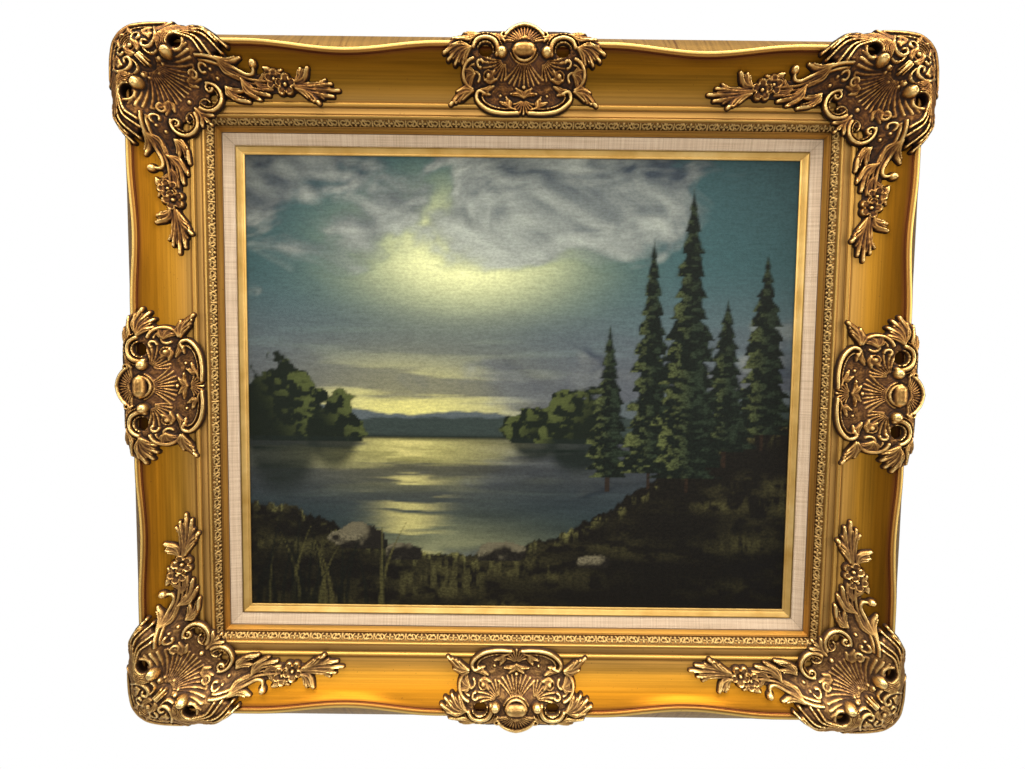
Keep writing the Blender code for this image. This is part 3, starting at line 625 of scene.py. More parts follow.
def course_height(s, v):
    """Relief of the ornament course: tongues and loops about a dart, and a four-petal star between them."""
    along = np.abs((s + COURSE_PERIOD / 2) % COURSE_PERIOD - COURSE_PERIOD / 2)
    spots = np.column_stack([along, v])
    middle = 4.6
    shapes = [
        stroke([(0.0, middle - 2.9), (0.0, middle - 1.3)], 1.5, 1.0, 1.1),
        stroke([(0.0, middle + 2.9), (0.0, middle + 1.3)], 1.5, 1.0, 1.1),
        stroke([(2.9, middle), (1.3, middle)], 1.5, 1.0, 1.1),
        stroke([(4.2, 1.0), (5.6, 3.2), (5.6, 6.0), (4.4, 8.2)], 0.9, 0.6, 0.8),
        stroke(arc((9.6, middle), 3.1, 75, 285), 0.95, 0.95, 1.1),
        stroke([(7.6, 8.2), (9.4, 5.6), (10.6, 2.0)], 0.9, 0.8, 1.0),
        stroke(arc((13.2, middle + 0.4), 2.3, -150, 150), 0.85, 0.85, 0.95),
        stroke([(12.4, 1.2), (14.6, 1.4)], 0.8, 0.6, 0.8),
        stroke([(17.5, 0.8), (17.5, 8.4)], 1.35, 0.5, 1.1),
    ]
    height = np.zeros(len(spots))
    for shape in shapes:
        close, raised = relief_of(spots, shape)
        height[close] = np.maximum(height[close], raised)
    return height


def course(side):
    """The ornament course of one rail, a fine sheet over the rail's slope."""
    half = side_frame(side)[2]
    width = math.hypot(COURSE_OUT - COURSE_IN, COURSE_HIGH - COURSE_LOW)
    rows = round(width / 0.7)
    columns = round(2 * half / COURSE_STEP)
    v, share = np.meshgrid(np.linspace(0, 1, rows + 1), np.linspace(-1, 1, columns + 1))
    v, share = v.ravel(), share.ravel()
    a = COURSE_IN + (COURSE_OUT - COURSE_IN) * v
    s = share * (half + a - CLEAR)
    repeats = round(2 * half / COURSE_PERIOD)
    height = course_height(s * repeats * COURSE_PERIOD / (2 * half), v * width)
    edge = np.minimum(1.0, np.minimum(v, 1 - v) * 8)
    lift = 0.1 + height * edge
    a = a - lift * (COURSE_HIGH - COURSE_LOW) / width
    d = COURSE_LOW - 0.3 + (COURSE_HIGH - COURSE_LOW) * v + lift * (COURSE_OUT - COURSE_IN) / width
    shade = ease(height, 0.15, 0.85)[:, None]
    # Painted shade: the level rails' course is painted a little darker
    crest = (COURSE_LEVEL_SHADE if side in ("bottom", "top") else 1.0) * np.array([0.58, 0.37, 0.13])
    colours = np.array([0.055, 0.024, 0.009]) * (1 - shade) + crest * shade
    piece(
        "course_" + side,
        place(side, np.column_stack([s, a, d])),
        grid_faces(columns + 1, rows + 1),
        [STREAKED[side]],
        colours=colours,
        attribute="tone",
    )


def grid_faces(rows, columns):
    """Quads of a grid of points, stored row by row."""
    start = (np.arange(rows - 1)[:, None] * columns + np.arange(columns - 1)).ravel()
    return np.column_stack([start, start + 1, start + columns + 1, start + columns]).tolist()


# Castings

Stroke = collections.namedtuple("Stroke", "path wide narrow rise belly")

# Spacing of the lines that echo a form on the ground beside it
ECHO = 2.2


def arc(centre, radius, start, end, radius_end=None):
    """Points on an arc or spiral. Angles are in degrees, from the u or s axis towards the a axis."""
    steps = max(4, round(abs(end - start) / 12))
    turn = np.radians(np.linspace(start, end, steps + 1))
    size = np.linspace(radius, radius_end or radius, steps + 1)
    return np.column_stack([centre[0] + size * np.cos(turn), centre[1] + size * np.sin(turn)])


def curve(points):
    """A smooth line through points."""
    points = np.array(points, float)
    if len(points) < 3:
        return points
    padded = np.concatenate([[2 * points[0] - points[1]], points, [2 * points[-1] - points[-2]]])
    line = []
    for p0, p1, p2, p3 in zip(padded, padded[1:], padded[2:], padded[3:]):
        bend = 2 * p0 - 5 * p1 + 4 * p2 - p3
        twist = 3 * p1 - p0 - 3 * p2 + p3
        for t in np.linspace(0, 1, 6)[:-1]:
            line.append(0.5 * (2 * p1 + (p2 - p0) * t + bend * t**2 + twist * t**3))
    return np.array(line + [points[-1]])


def stroke(path, wide, narrow, rise, belly=0.0):
    """A ridge from half-width wide to narrow, belly wider in the middle."""
    return Stroke(np.array(path, float), wide, narrow, rise, belly)


def measure(points, shape, margin):
    """The points near the stroke, their distance to its path and the half-width there."""
    path, wide, narrow = shape.path, shape.wide, shape.narrow
    reach = max(wide, narrow) + shape.belly + margin
    low = path.min(axis=0) - reach
    high = path.max(axis=0) + reach
    close = np.flatnonzero(((points >= low) & (points <= high)).all(axis=1))
    points = points[close]
    best = np.full(len(points), np.inf)
    at = np.zeros(len(points))
    count = len(path) - 1
    for i in range(count):
        run = path[i + 1] - path[i]
        length = max(run @ run, 1e-9)
        share = np.clip((points - path[i]) @ run / length, 0.0, 1.0)
        gap = np.hypot(*(points - path[i] - share[:, None] * run).T)
        nearer = gap < best
        best = np.where(nearer, gap, best)
        at = np.where(nearer, (i + share) / count, at)
    return close, best, wide + (narrow - wide) * at + shape.belly * np.sin(math.pi * at)


def relief_of(points, shape):
    """The points on a stroke and how high it stands there."""
    close, gap, width = measure(points, shape, 0.0)
    return close, shape.rise * np.sqrt(np.clip(1.0 - (gap / width) ** 2, 0.0, 1.0))


def dome(centre, radius, rise):
    return stroke([centre, centre], radius, radius, rise)


def flower(centre, petals, size, rise):
    """Petals with a rim round each, about a button."""
    parts = [dome(centre, size * 0.22, rise * 1.25)]
    for i in range(petals):
        turn = 2 * math.pi * (i + 0.25) / petals
        middle = (centre[0] + 0.6 * size * math.cos(turn), centre[1] + 0.6 * size * math.sin(turn))
        heading = math.degrees(turn)
        parts.append(dome(middle, size * 0.46, rise * 0.66))
        parts.append(stroke(arc(middle, size * 0.31, heading - 120, heading + 120), 0.9, 0.9, rise))
    return parts


def fan(origin, heading, spread, count, near, far, width, rise, flare=0.0):
    """Curved ribs from heading to heading + spread degrees. The last is longer than the first by flare."""
    ribs = []
    for i in range(count):
        share = i / (count - 1)
        turn = math.radians(heading + spread * share)
        bend = math.radians(spread * share * 0.25)
        reach = far + flare * share
        path = []
        for t in np.linspace(0, 1, 6):
            r = near + (reach - near) * t
            angle = turn + bend * t
            path.append((origin[0] + r * math.cos(angle), origin[1] + r * math.sin(angle)))
        ribs.append(stroke(path, width * 0.5, width, rise))
    return ribs


def leaf(root, tips, wide, narrow, rise, bow=0.14):
    """Leaves from one root, each a broad blade with a raised midrib and a shorter vein on either side."""
    ridges = []
    root = np.array(root, float)
    for tip in tips:
        run = np.array(tip, float) - root
        across = np.array([-run[1], run[0]])
        unit = across / np.hypot(*run)
        spine = curve([root, root + run / 2 + bow * across, root + run])
        ridges.append(stroke(spine, wide * 0.6, narrow * 0.8, rise * 0.84, wide * 0.55))
        for offset, length, share in ((0.0, 0.92, 1.06), (0.80, 0.80, 0.90), (-0.80, 0.80, 0.90)):
            middle = root + run * length / 2 + bow * across + unit * offset * wide
            end = root + run * length + unit * offset * wide * 0.55
            vein = curve([root, middle, end])
            ridges.append(stroke(vein, wide * 0.34, max(narrow * 0.42, 0.8), rise * share, wide * 0.16))
    return ridges


def plume(eye, radii, start, end, tips, width, rise):
    """Ridges side by side that wrap round an eye and run out to their tips."""
    middle = (radii[0] + radii[-1]) / 2
    ridges = [stroke(arc(eye, middle, start, end), middle / 2, middle / 2, rise * 0.45)]
    for radius, tip in zip(radii, tips):
        wrapped = arc(eye, radius, start, end)[::2]
        run = np.array(tip) - wrapped[-1]
        middle = wrapped[-1] + 0.5 * run + 0.16 * np.array([run[1], -run[0]])
        line = curve(np.concatenate([wrapped, [middle, tip]]))
        ridges.append(stroke(line, width, width * 1.15, rise, width * 0.2))
        ridges.append(dome(tip, width * 1.3, rise))
    return ridges


def forms_of(leaves, curves, arcs, domes):
    """The strokes that four tables describe. A row holds a form's place, then its half-widths and rise."""
    forms = [stroke(curve(points), *size) for points, size in curves]
    forms += [stroke(arc(*turn), *size) for turn, size in arcs]
    forms += [dome(*spot) for spot in domes]
    for row in leaves:
        forms += leaf(*row)
    return forms


# Half a corner casting, as (u, v) out from the corner of the opening, where v is at least u
CORNER_EYE = (49.0, 98.0)
CORNER_LEAVES = (
    ((44, 111), [(24, 112), (34, 116)], 2.2, 1.6, 3.0),
    ((85, 88), [(95, 101), (87, 98)], 2.2, 1.6, 2.8),
    ((74, 101), [(76, 110), (83, 108)], 2.0, 1.4, 2.6),
    ((40, 40), [(23.5, 23.5), (22, 33)], 3.4, 2.0, 3.8),
    ((-8, 70), [(-36, 54.5), (-27, 50), (-20, 60)], 3.0, 2.2, 3.6),
    ((-60, 64), [(-108, 60), (-100, 66), (-102, 54)], 3.4, 2.2, 3.8, 0.04),
    ((-80, 62), [(-94, 70), (-92, 52)], 2.4, 1.8, 3.0),
    ((-64, 61), [(-88, 46.5), (-80, 51)], 3.0, 2.6, 4.2, -0.12),
    ((-62, 67), [(-77, 80), (-70, 79)], 3.0, 2.6, 4.2, 0.20),
    ((8, 62), [(-16, 47), (-9, 58), (-2, 50)], 2.8, 2.0, 3.6),
    ((12, 86), [(-9, 88), (-4, 78), (-8, 70)], 2.8, 1.8, 3.4),
    ((46, 66), [(36, 61), (32, 68), (36, 77)], 2.0, 1.4, 2.6),
    ((-40, 74), [(-32, 80), (-50, 78)], 2.2, 1.6, 2.8),
    ((101, 115), [(111, 104), (94, 107)], 2.2, 1.6, 2.6),
    ((72, 112), [(56, 120), (60, 113), (84, 109)], 2.2, 1.6, 2.8),
    ((64, 96), [(68, 108), (61, 107)], 1.8, 1.4, 2.4),
    ((-22, 66), [(-40, 60), (-34, 76)], 2.2, 1.6, 2.8),
)
CORNER_CURVES = (
    (
        [(71, 113), (67.5, 105), (69.5, 96), (76, 91.5), (81, 94), (80, 98.5), (76.5, 98)],
        (1.7, 1.3, 3.8, 0.4),
    ),
    ([(66, 89), (70, 86), (75, 86.5), (79, 90)], (1.2, 1.2, 3.2)),
    ([(111, 110), (101, 116.5), (88, 118.5), (75, 119), (62, 119)], (2.2, 1.6, 3.0, 0.5)),
    ([(106, 106), (98, 111), (88, 113.5), (78, 114)], (1.2, 1.0, 2.4)),
    ([(30, 86), (14, 85), (0, 80), (-14, 73.5), (-21, 75), (-22, 81)], (1.5, 1.5, 3.8, 0.6)),
    ([(28, 82.5), (13, 81), (0, 76), (-16, 69.5), (-40, 67)], (1.1, 1.5, 3.0, 0.4)),
    ([(0, 71), (-18, 65.5), (-38, 64)], (1.2, 1.4, 2.6)),
    ([(84, 84), (76, 76)], (2.4, 1.6, 5.0)),
    ([(83, 86.5), (75, 79.5)], (1.3, 1.0, 4.0)),
)
CORNER_ARCS = (
    ((CORNER_EYE, 8.4, 160, 290), (1.3, 1.3, 2.0)),
    (((88, 103), 5.2, -60, 230, 3.4), (1.3, 1.6, 3.2)),
    (((38, 71), 4.6, 10, 300, 2.6), (1.3, 1.6, 3.4)),
    (((26, 51), 13.6, -50, -275), (2.2, 1.6, 4.4, 0.5)),
    (((26, 51), 9.8, -40, -240), (1.1, 1.0, 2.6)),
    (((24, 60), 4.2, 60, -180, 2.6), (1.4, 1.6, 3.8)),
    (((27, 76), 4.6, 150, -110, 2.6), (1.2, 1.5, 3.0)),
    (((93, 93), 5.2, 0, 360), (0.9, 0.9, 2.0)),
    (((93, 93), 8.4, 20, 70), (0.9, 0.9, 2.0)),
    (((93, 93), 11.4, 20, 70), (0.9, 0.9, 2.0)),
    (((93, 93), 14.4, 20, 70), (0.9, 0.9, 2.0)),
    (((30, 44), 5.5, -60, 150), (1.0, 0.8, 2.0)),
)
CORNER_DOMES = (
    ((57.3, 87.3), 6.4, 10.5),
    ((66, 82), 2.4, 3.6),
    ((46, 46), 2.6, 4.0),
    ((93, 93), 3.0, 4.0),
    ((-22, 83), 4.2, 6.4),
    ((38, 71), 1.5, 3.0),
    ((64.5, 78), 1.5, 3.0),
    ((70, 70), 1.4, 2.6),
    ((15, 69), 1.5, 2.6),
    ((20, 76), 1.4, 2.6),
    ((15, 58), 1.5, 2.6),
    ((24, 60), 1.5, 3.4),
)
CORNER_TIPS = [(23, 88.5), (16, 88), (6, 90.5), (1, 96.5), (9, 100), (13, 107)]


def corner_forms():
    """Leaves, scrolls, a plume, a shell and two flowers on half a corner casting."""
    forms = forms_of(CORNER_LEAVES, CORNER_CURVES, CORNER_ARCS, CORNER_DOMES)
    forms += plume(CORNER_EYE, (7.9, 9.9, 11.9, 13.9, 15.7, 17.3), -25, 118, CORNER_TIPS, 1.05, 3.6)
    forms += fan((80, 80), 225, -58, 11, 11, 41, 1.0, 1.5, 5)
    return forms + flower((-42, 69.5), 5, 10.0, 3.6) + flower((-53.5, 64.5), 5, 11.0, 4.8)


def filled(rows):
    """Ground between the forms: strokes that only widen the casting's outline."""
    return [stroke(path, wide, narrow, 0.0) for path, wide, narrow in rows]


CORNER_WEBS = (
    ([(95, 95), (78, 97.5)], 22.5, 22.5),
    ([(49, 98), (48, 97)], 18.5, 18.5),
    ([(66, 66), (58, 84)], 24.0, 20.0),
    ([(46, 46), (36, 66)], 15.0, 14.0),
    ([(44, 97), (18, 99)], 13.0, 9.0),
    ([(30, 78), (-12, 66)], 14.0, 8.0),
    ([(-12, 66), (-62, 64)], 9.0, 6.0),
)

# Half a centre casting, as (s, a)
CENTRE_EYE = (39.0, 95.5)
CENTRE_LEAVES = (
    ((53, 98), [(81, 94), (77, 88), (70, 84), (62, 84)], 2.8, 2.2, 4.0),
    ((45, 111), [(72, 108), (61, 113.5)], 2.8, 2.0, 3.8, -0.1),
    ((52, 60), [(75, 47), (68, 60), (66, 51)], 3.0, 2.4, 3.8),
    ((50, 75), [(61, 69), (61, 79), (56, 62)], 2.2, 1.6, 3.0),
    ((44, 62), [(31, 65), (35, 57)], 2.2, 1.5, 2.8),
    ((20, 104), [(28, 109), (34, 112)], 1.8, 1.4, 2.8),
    ((14, 43), [(24, 50), (18, 55)], 2.0, 1.4, 2.8),
    ((0, 54), [(8, 63), (13, 58)], 1.8, 1.4, 2.8),
    ((40, 70), [(30, 78), (28, 71)], 2.0, 1.4, 2.8),
)
CENTRE_CURVES = (
    ([(6, 39), (19, 38.5), (33, 40.5), (43, 46), (48.5, 53.5), (46, 60), (40, 58)], (2.2, 1.6, 4.6, 0.6)),
    ([(8, 43.5), (20, 43), (32, 45.5), (40, 50), (43, 55)], (1.0, 1.0, 2.6)),
    ([(8, 42), (14.5, 45), (14.5, 50.5)], (1.4, 1.8, 3.2)),
    ([(0, 96.5), (5, 96.5)], (7.4, 7.0, 7.0)),
)
CENTRE_ARCS = (
    (((0, 97.5), 11.2, -90, -5), (1.8, 1.6, 3.8)),
    (((0, 97.5), 14.2, -90, -20), (0.9, 0.9, 2.2)),
    (((44, 84), 3.6, -90, 150, 2.6), (1.3, 1.5, 3.2)),
    (((48, 75), 13.8, -70, 75), (1.8, 1.6, 3.8, 0.5)),
    (((49, 74), 9.4, -60, 80), (1.0, 1.0, 2.4)),
    (((50, 73), 5.4, 230, 60, 3.6), (1.3, 1.3, 2.4)),
    ((CENTRE_EYE, 12.6, 196, 15), (3.0, 2.2, 5.0)),
    ((CENTRE_EYE, 8.0, 190, 20), (0.95, 0.9, 3.0)),
    ((CENTRE_EYE, 16.9, 190, 20), (0.95, 0.9, 3.0)),
    (((0, 97.5), 25.4, 90, 36, 23.0), (2.6, 2.0, 4.4)),
    (((20.6, 110.5), 3.2, 150, -120, 2.2), (1.3, 1.4, 3.4)),
    (((36, 73.5), 4.8, 0, 360), (0.8, 0.8, 1.8)),
)
CENTRE_DOMES = (
    ((22.7, 93.9), 5.8, 8.5),
    ((36, 73.5), 2.8, 4.0),
    ((0, 64), 2.2, 3.4),
    ((42, 57), 1.6, 3.4),
    ((24, 56), 1.4, 2.4),
)


def centre_forms():
    """Leaves, scrolls and four shells on half a centre casting."""
    forms = forms_of(CENTRE_LEAVES, CENTRE_CURVES, CENTRE_ARCS, CENTRE_DOMES)
    forms += fan((0, 98), 90, -56, 8, 9.5, 23, 1.1, 1.5, -2) + fan((0, 92), -90, 34, 5, 9, 27, 0.95, 1.5, 2)
    forms += fan((19, 88), -92, 82, 8, 5, 17, 0.9, 1.4, 9)
    return forms + fan((0, 53), -90, 50, 5, 3, 14.5, 1.3, 2.2, -3)


CENTRE_WEBS = (
    ([(0, 72), (26, 74)], 24.0, 22.0),
    ([(0, 54), (34, 52)], 12.0, 12.0),
    ([(44, 74), (44, 84)], 17.0, 17.0),
    ([(0, 100), (40, 97)], 15.0, 17.5),
    ([(50, 99), (68, 97)], 14.0, 9.0),
    ([(0, 108), (0, 112)], 13.0, 9.0),
)

# Height of each casting's ground at distances out from the opening
CORNER_BODY = (
    (20, 28),
    (54, 29),
    (65, 31.5),
    (76, 40),
    (85, 51),
    (90, 55.5),
    (98, 57),
    (107, 55),
    (114, 49),
    (128, 38),
)
CENTRE_BODY = (
    (30, 28.5),
    (55, 29),
    (66, 32),
    (76, 38),
    (86, 44.5),
    (94, 47),
    (106, 48.5),
    (113, 46),
    (128, 40),
)


def seat(a):
    """Height of the rail under a casting: level over the beads, then the cove, rim and flared side."""
    cove = FLAT_OUT + FILLET_W
    line = [(0.0, FILLET_TOP), (cove, FILLET_TOP), (cove + 0.4, COVE_LOW)]
    for share in (0.25, 0.5, 0.75, 1.0):
        height = COVE_LOW + (COVE_FIXED_TOP - COVE_LOW) * share**2.1
        line.append((cove + (COVE_FIXED - cove) * share, height))
    lip = RIM_OUT - RIM_W
    line += [(lip, RIM_TOP - RIM_LIP), (lip + 1.4, RIM_TOP - 0.7), (RIM_OUT, RIM_TOP)]
    line += [(FRAME_OUT, SIDE_TOP), (FRAME_OUT + 0.4, SIDE_TOP), (FRAME_OUT + 30.0, SIDE_TOP)]
    return np.interp(a, *zip(*line))


def hashed(cells, seed):
    """A repeatable number from 0 to 1 for each whole-number cell."""
    x, y = cells[..., 0].astype(np.int64), cells[..., 1].astype(np.int64)
    mixed = (x * 374761393 + y * 668265263 + seed * 1442695041) & 0x7FFFFFFF
    mixed = ((mixed ^ (mixed >> 13)) * 1274126177) & 0x7FFFFFFF
    return ((mixed ^ (mixed >> 16)) & 0xFFFF) / 65535.0


def value_noise(points, size, seed, octaves=4):
    """Smooth noise about 0.5, whose largest lumps are size across."""
    total = np.zeros(len(points))
    weight = 0.0
    for octave in range(octaves):
        scaled = points / size * 2**octave
        cell = np.floor(scaled)
        part = scaled - cell
        part = part * part * (3 - 2 * part)
        corners = [hashed(cell + offset, seed + octave) for offset in ((0, 0), (1, 0), (0, 1), (1, 1))]
        low = corners[0] + (corners[1] - corners[0]) * part[:, 0]
        high = corners[2] + (corners[3] - corners[2]) * part[:, 0]
        total += (low + (high - low) * part[:, 1]) * 0.5**octave
        weight += 0.5**octave
    return total / weight


def blurred(values, reach):
    """A box blur of a grid, done twice, which looks like a soft blur."""
    width = 2 * reach + 1
    for axis in (0, 1, 0, 1):
        pads = [(reach, reach) if part == axis else (0, 0) for part in (0, 1)]
        total = np.insert(np.cumsum(np.pad(values, pads, "edge"), axis), 0, 0.0, axis)
        count = values.shape[axis]
        high = np.take(total, np.arange(width, width + count), axis)
        values = (high - np.take(total, np.arange(count), axis)) / width
    return values


class Casting:
    """The fine form of one kind of casting."""

    def __init__(self, forms, webs, hole, body, fade, folded, basin):
        self.relief = forms
        self.webs = webs
        self.hole = hole
        self.body = body
        self.fade = fade
        self.folded = folded
        self.basin = basin

    def fold(self, points):
        """The half of the casting that its forms describe stands for the other half too."""
        if self.folded:
            return np.sort(points, axis=1)
        return np.column_stack([np.abs(points[:, 0]), points[:, 1]])

    def mask(self, points):
        """How far inside the outline each point lies. The opening counts as outside."""
        points = self.fold(points)
        inside = np.full(len(points), -9.0)
        for shape in self.relief + self.webs:
            close, gap, width = measure(points, shape, 6.0)
            inside[close] = np.maximum(inside[close], width + EDGE_MARGIN - gap)
        centre, radii = self.hole
        scaled = np.hypot(*((points - centre) / radii).T)
        return np.minimum(inside, (scaled - 1.0) * min(radii))

    def top(self, points, mask):
        """Height of the front, and how much of the stippled basin each point lies in."""
        lumps = value_noise(points, 2.4, 7, 2)
        points = self.fold(points)
        along, out = points.T
        out_body = (np.maximum(along, 0.0) ** 6 + out**6) ** (1 / 6) if self.folded else out
        body = np.interp(out_body, *zip(*self.body))
        share = ease(along, *self.fade)
        ground = seat(out) + PLATE
        height = np.maximum(ground, ground + (body - ground) * share)
        raised = np.zeros(len(points))
        beyond = np.full(len(points), 8.0)
        for shape in self.relief:
            close, high = relief_of(points, shape)
            raised[close] = np.maximum(raised[close], high)
            close, gap, width = measure(points, shape, 8.0)
            beyond[close] = np.minimum(beyond[close], np.maximum(gap - width, 0.0))
        centre, radius = self.basin
        basin = 1.0 - ease(np.hypot(*(points - centre).T), radius * 0.7, radius)
        flat = 1.0 - ease(raised, 0.3, 1.6)
        edge = np.clip(mask / 2.0, 0.0, 1.0)
        rolled = 1.6 * (1.0 - np.sqrt(1.0 - (1.0 - edge) ** 2))
        echo = 0.40 * np.cos(2 * math.pi * beyond / ECHO) * np.exp(-beyond / 3.5) * flat
        rough = (lumps - 0.5) * (0.25 + 0.8 * flat)
        return height + raised + echo + rough - rolled, basin * flat


def onto_outline(casting, points, at, step):
    """Moves the points outside the outline onto it, and gives how far inside each then lies."""
    small = 0.05
    for _ in range(2):
        shifts = ((small, 0.0), (0.0, small))
        slope = np.column_stack([casting.mask(points + shift) - at for shift in shifts]) / small
        slope /= np.maximum(np.hypot(*slope.T), 0.3)[:, None]
        outside = at < 0
        points[outside] -= slope[outside] * np.clip(at[outside], -step, 0.0)[:, None]
        at = casting.mask(points)
    return at


def crest_of(height, used, shape, step):
    """How far each point of the grid stands above its surroundings, from 0 in a hollow to 1 on a crest."""
    full = np.zeros(shape[0] * shape[1])
    weight = np.zeros(len(full))
    full[used] = height
    weight[used] = 1.0
    crest = np.zeros(len(used))
    for reach, scale in ((round(1.8 / step), 2.0), (round(4.0 / step), 4.4)):
        near = np.maximum(blurred(weight.reshape(shape), reach).ravel(), 0.05)
        mean = blurred(full.reshape(shape), reach).ravel() / near
        crest += 0.5 * (height - mean[used]) / scale
    return np.clip(0.45 + crest, 0.0, 1.0)


def fine_mesh(casting, low, high, step):
    """Points, faces and the relief colours of a casting, on a fine grid that is cut at the outline."""
    xs = np.arange(low[0], high[0] + step, step)
    ys = np.arange(low[1], high[1] + step, step)
    grid = np.stack(np.meshgrid(xs, ys, indexing="ij"), -1).reshape(-1, 2)
    mask = casting.mask(grid)
    shape = (len(xs), len(ys))
    inside = (mask > 0).reshape(shape)
    cells = inside[:-1, :-1] | inside[1:, :-1] | inside[:-1, 1:] | inside[1:, 1:]
    start = (np.arange(shape[0] - 1)[:, None] * shape[1] + np.arange(shape[1] - 1))[cells]
    quads = np.column_stack([start, start + shape[1], start + shape[1] + 1, start + 1])
    used = np.unique(quads)
    points = grid[used].copy()
    at = onto_outline(casting, points, mask[used], step)
    height, basin = casting.top(points, np.maximum(at, 0.0))
    crest = crest_of(height, used, shape, step)
    renumber = np.full(len(grid), -1)
    renumber[used] = np.arange(len(used))
    quads = renumber[quads]

    sides = np.concatenate([quads[:, [i, (i + 1) % 4]] for i in range(4)])
    _, first, counts = np.unique(np.sort(sides, axis=1), axis=0, return_index=True, return_counts=True)
    rim = sides[first[counts == 1]]
    out = casting.fold(points)[:, 1]
    under = (out > FRAME_OUT - 4.0)[quads].all(axis=1)
    count = len(points)
    faces = quads.tolist()
    faces += [[b, a, count + a, count + b] for a, b in rim.tolist()]
    faces += [[count + i for i in reversed(quad)] for quad in quads[under].tolist()]
    base = np.minimum(seat(out) + GLUE, height - 0.2)
    spots = np.concatenate([np.column_stack([points, height]), np.column_stack([points, base])])
    crest = np.concatenate([crest, np.full(count, 0.25)])
    tints = np.column_stack([crest, np.tile(basin, 2), np.zeros(2 * count)])
    keep = np.unique(np.concatenate([np.array(face) for face in faces]))
    again = np.full(len(spots), -1)
    again[keep] = np.arange(len(keep))
    faces = [[int(again[i]) for i in face] for face in faces]
    return spots[keep], faces, tints[keep]


def ornament(name, node, points, faces, tints):
    """One casting, kept within the solid that it stands for."""
    low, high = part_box(node)
    points = np.clip(points, np.array(low), np.array(high))
    made = piece(name, points, faces, [CAST], colours=tints, attribute="relief")
    sharpen(made, 60)
    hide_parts(node)


def castings():
    """The four corner castings share one form, and so do the four centre castings."""
    hole = (CORNER_EYE, (6.4, 5.4))
    webs = filled(CORNER_WEBS)
    corner = Casting(corner_forms(), webs, hole, CORNER_BODY, (-6.0, 26.0), True, ((58.0, 58.0), 24.0))
    spots, faces, tints = fine_mesh(corner, (-115, -115), (128, 128), CORNER_STEP)
    for side, name in CORNERS.items():
        along = -(side_frame(side)[2] + spots[:, 0])
        points = place(side, np.column_stack([along, spots[:, 1], spots[:, 2]]))
        ornament("corner_ornament_" + name, "corner_casting_" + name, points, faces, tints)
    hole = (CENTRE_EYE, (6.8, 5.6))
    webs = filled(CENTRE_WEBS)
    centre = Casting(centre_forms(), webs, hole, CENTRE_BODY, (84.0, 48.0), False, ((0.0, 76.0), 26.0))
    spots, faces, tints = fine_mesh(centre, (-92, 24), (92, 134), CENTRE_STEP)
    for side in SIDES:
        ornament("centre_ornament_" + side, "centre_casting_" + side, place(side, spots), faces, tints)


# Painting: a lake at dusk between wooded hills

# Height of the far shore, and where the low glow stands above it
SHORE = 0.385
GLOW = 0.29
# Height, unevenness, seed and colour of each range of hills
HILLS = (
    (0.110, 0.070, 31, (0.095, 0.120, 0.130)),
    (0.055, 0.060, 47, (0.034, 0.050, 0.046)),
)
# Middle, half sizes and seed of each bush on the far shore
BUSHES = (
    ((0.060, 0.400), (0.085, 0.155), 61),
    ((0.155, 0.395), (0.055, 0.085), 63),
    ((0.530, 0.395), (0.055, 0.060), 65),
    ((0.610, 0.400), (0.075, 0.100), 67),
)
# Middle, foot, top and half-width of each conifer, from back to front
CONIFERS = (
    (0.665, 0.30, 0.64, 0.050),
    (0.950, 0.40, 0.80, 0.065),
    (0.742, 0.31, 0.83, 0.062),
    (0.880, 0.36, 0.70, 0.060),
    (0.812, 0.30, 0.94, 0.078),
)
# Middle, height, half sizes and seed of each rock
ROCKS = (
    (0.200, 0.150, 0.050, 0.040, 131),
    (0.285, 0.120, 0.034, 0.026, 141),
    (0.470, 0.120, 0.046, 0.032, 151),
    (0.640, 0.100, 0.030, 0.022, 161),
)


def blend(colours, colour, share):
    """The colours mixed with one colour, or with a list of them, by each point's share."""
    return colours + (np.array(colour) - colours) * share[:, None]


def conifer(u, v, foot, top, centre, wide, seed):
    """Cover of one conifer with drooping tiers and a ragged edge."""
    share = np.clip((top - v) / (top - foot), 0.0, 1.0)
    tier = (share * (8.0 + 70.0 * wide)) % 1.0
    ragged = value_noise(np.column_stack([u, v]) * 100.0, 2.2, seed, 3) - 0.5
    edge = wide * share**0.85 * (0.62 + 0.38 * tier) + ragged * wide * 0.7 * share
    return ease(edge - np.abs(u - centre), -0.002, 0.004) * (v > foot) * (v < top)


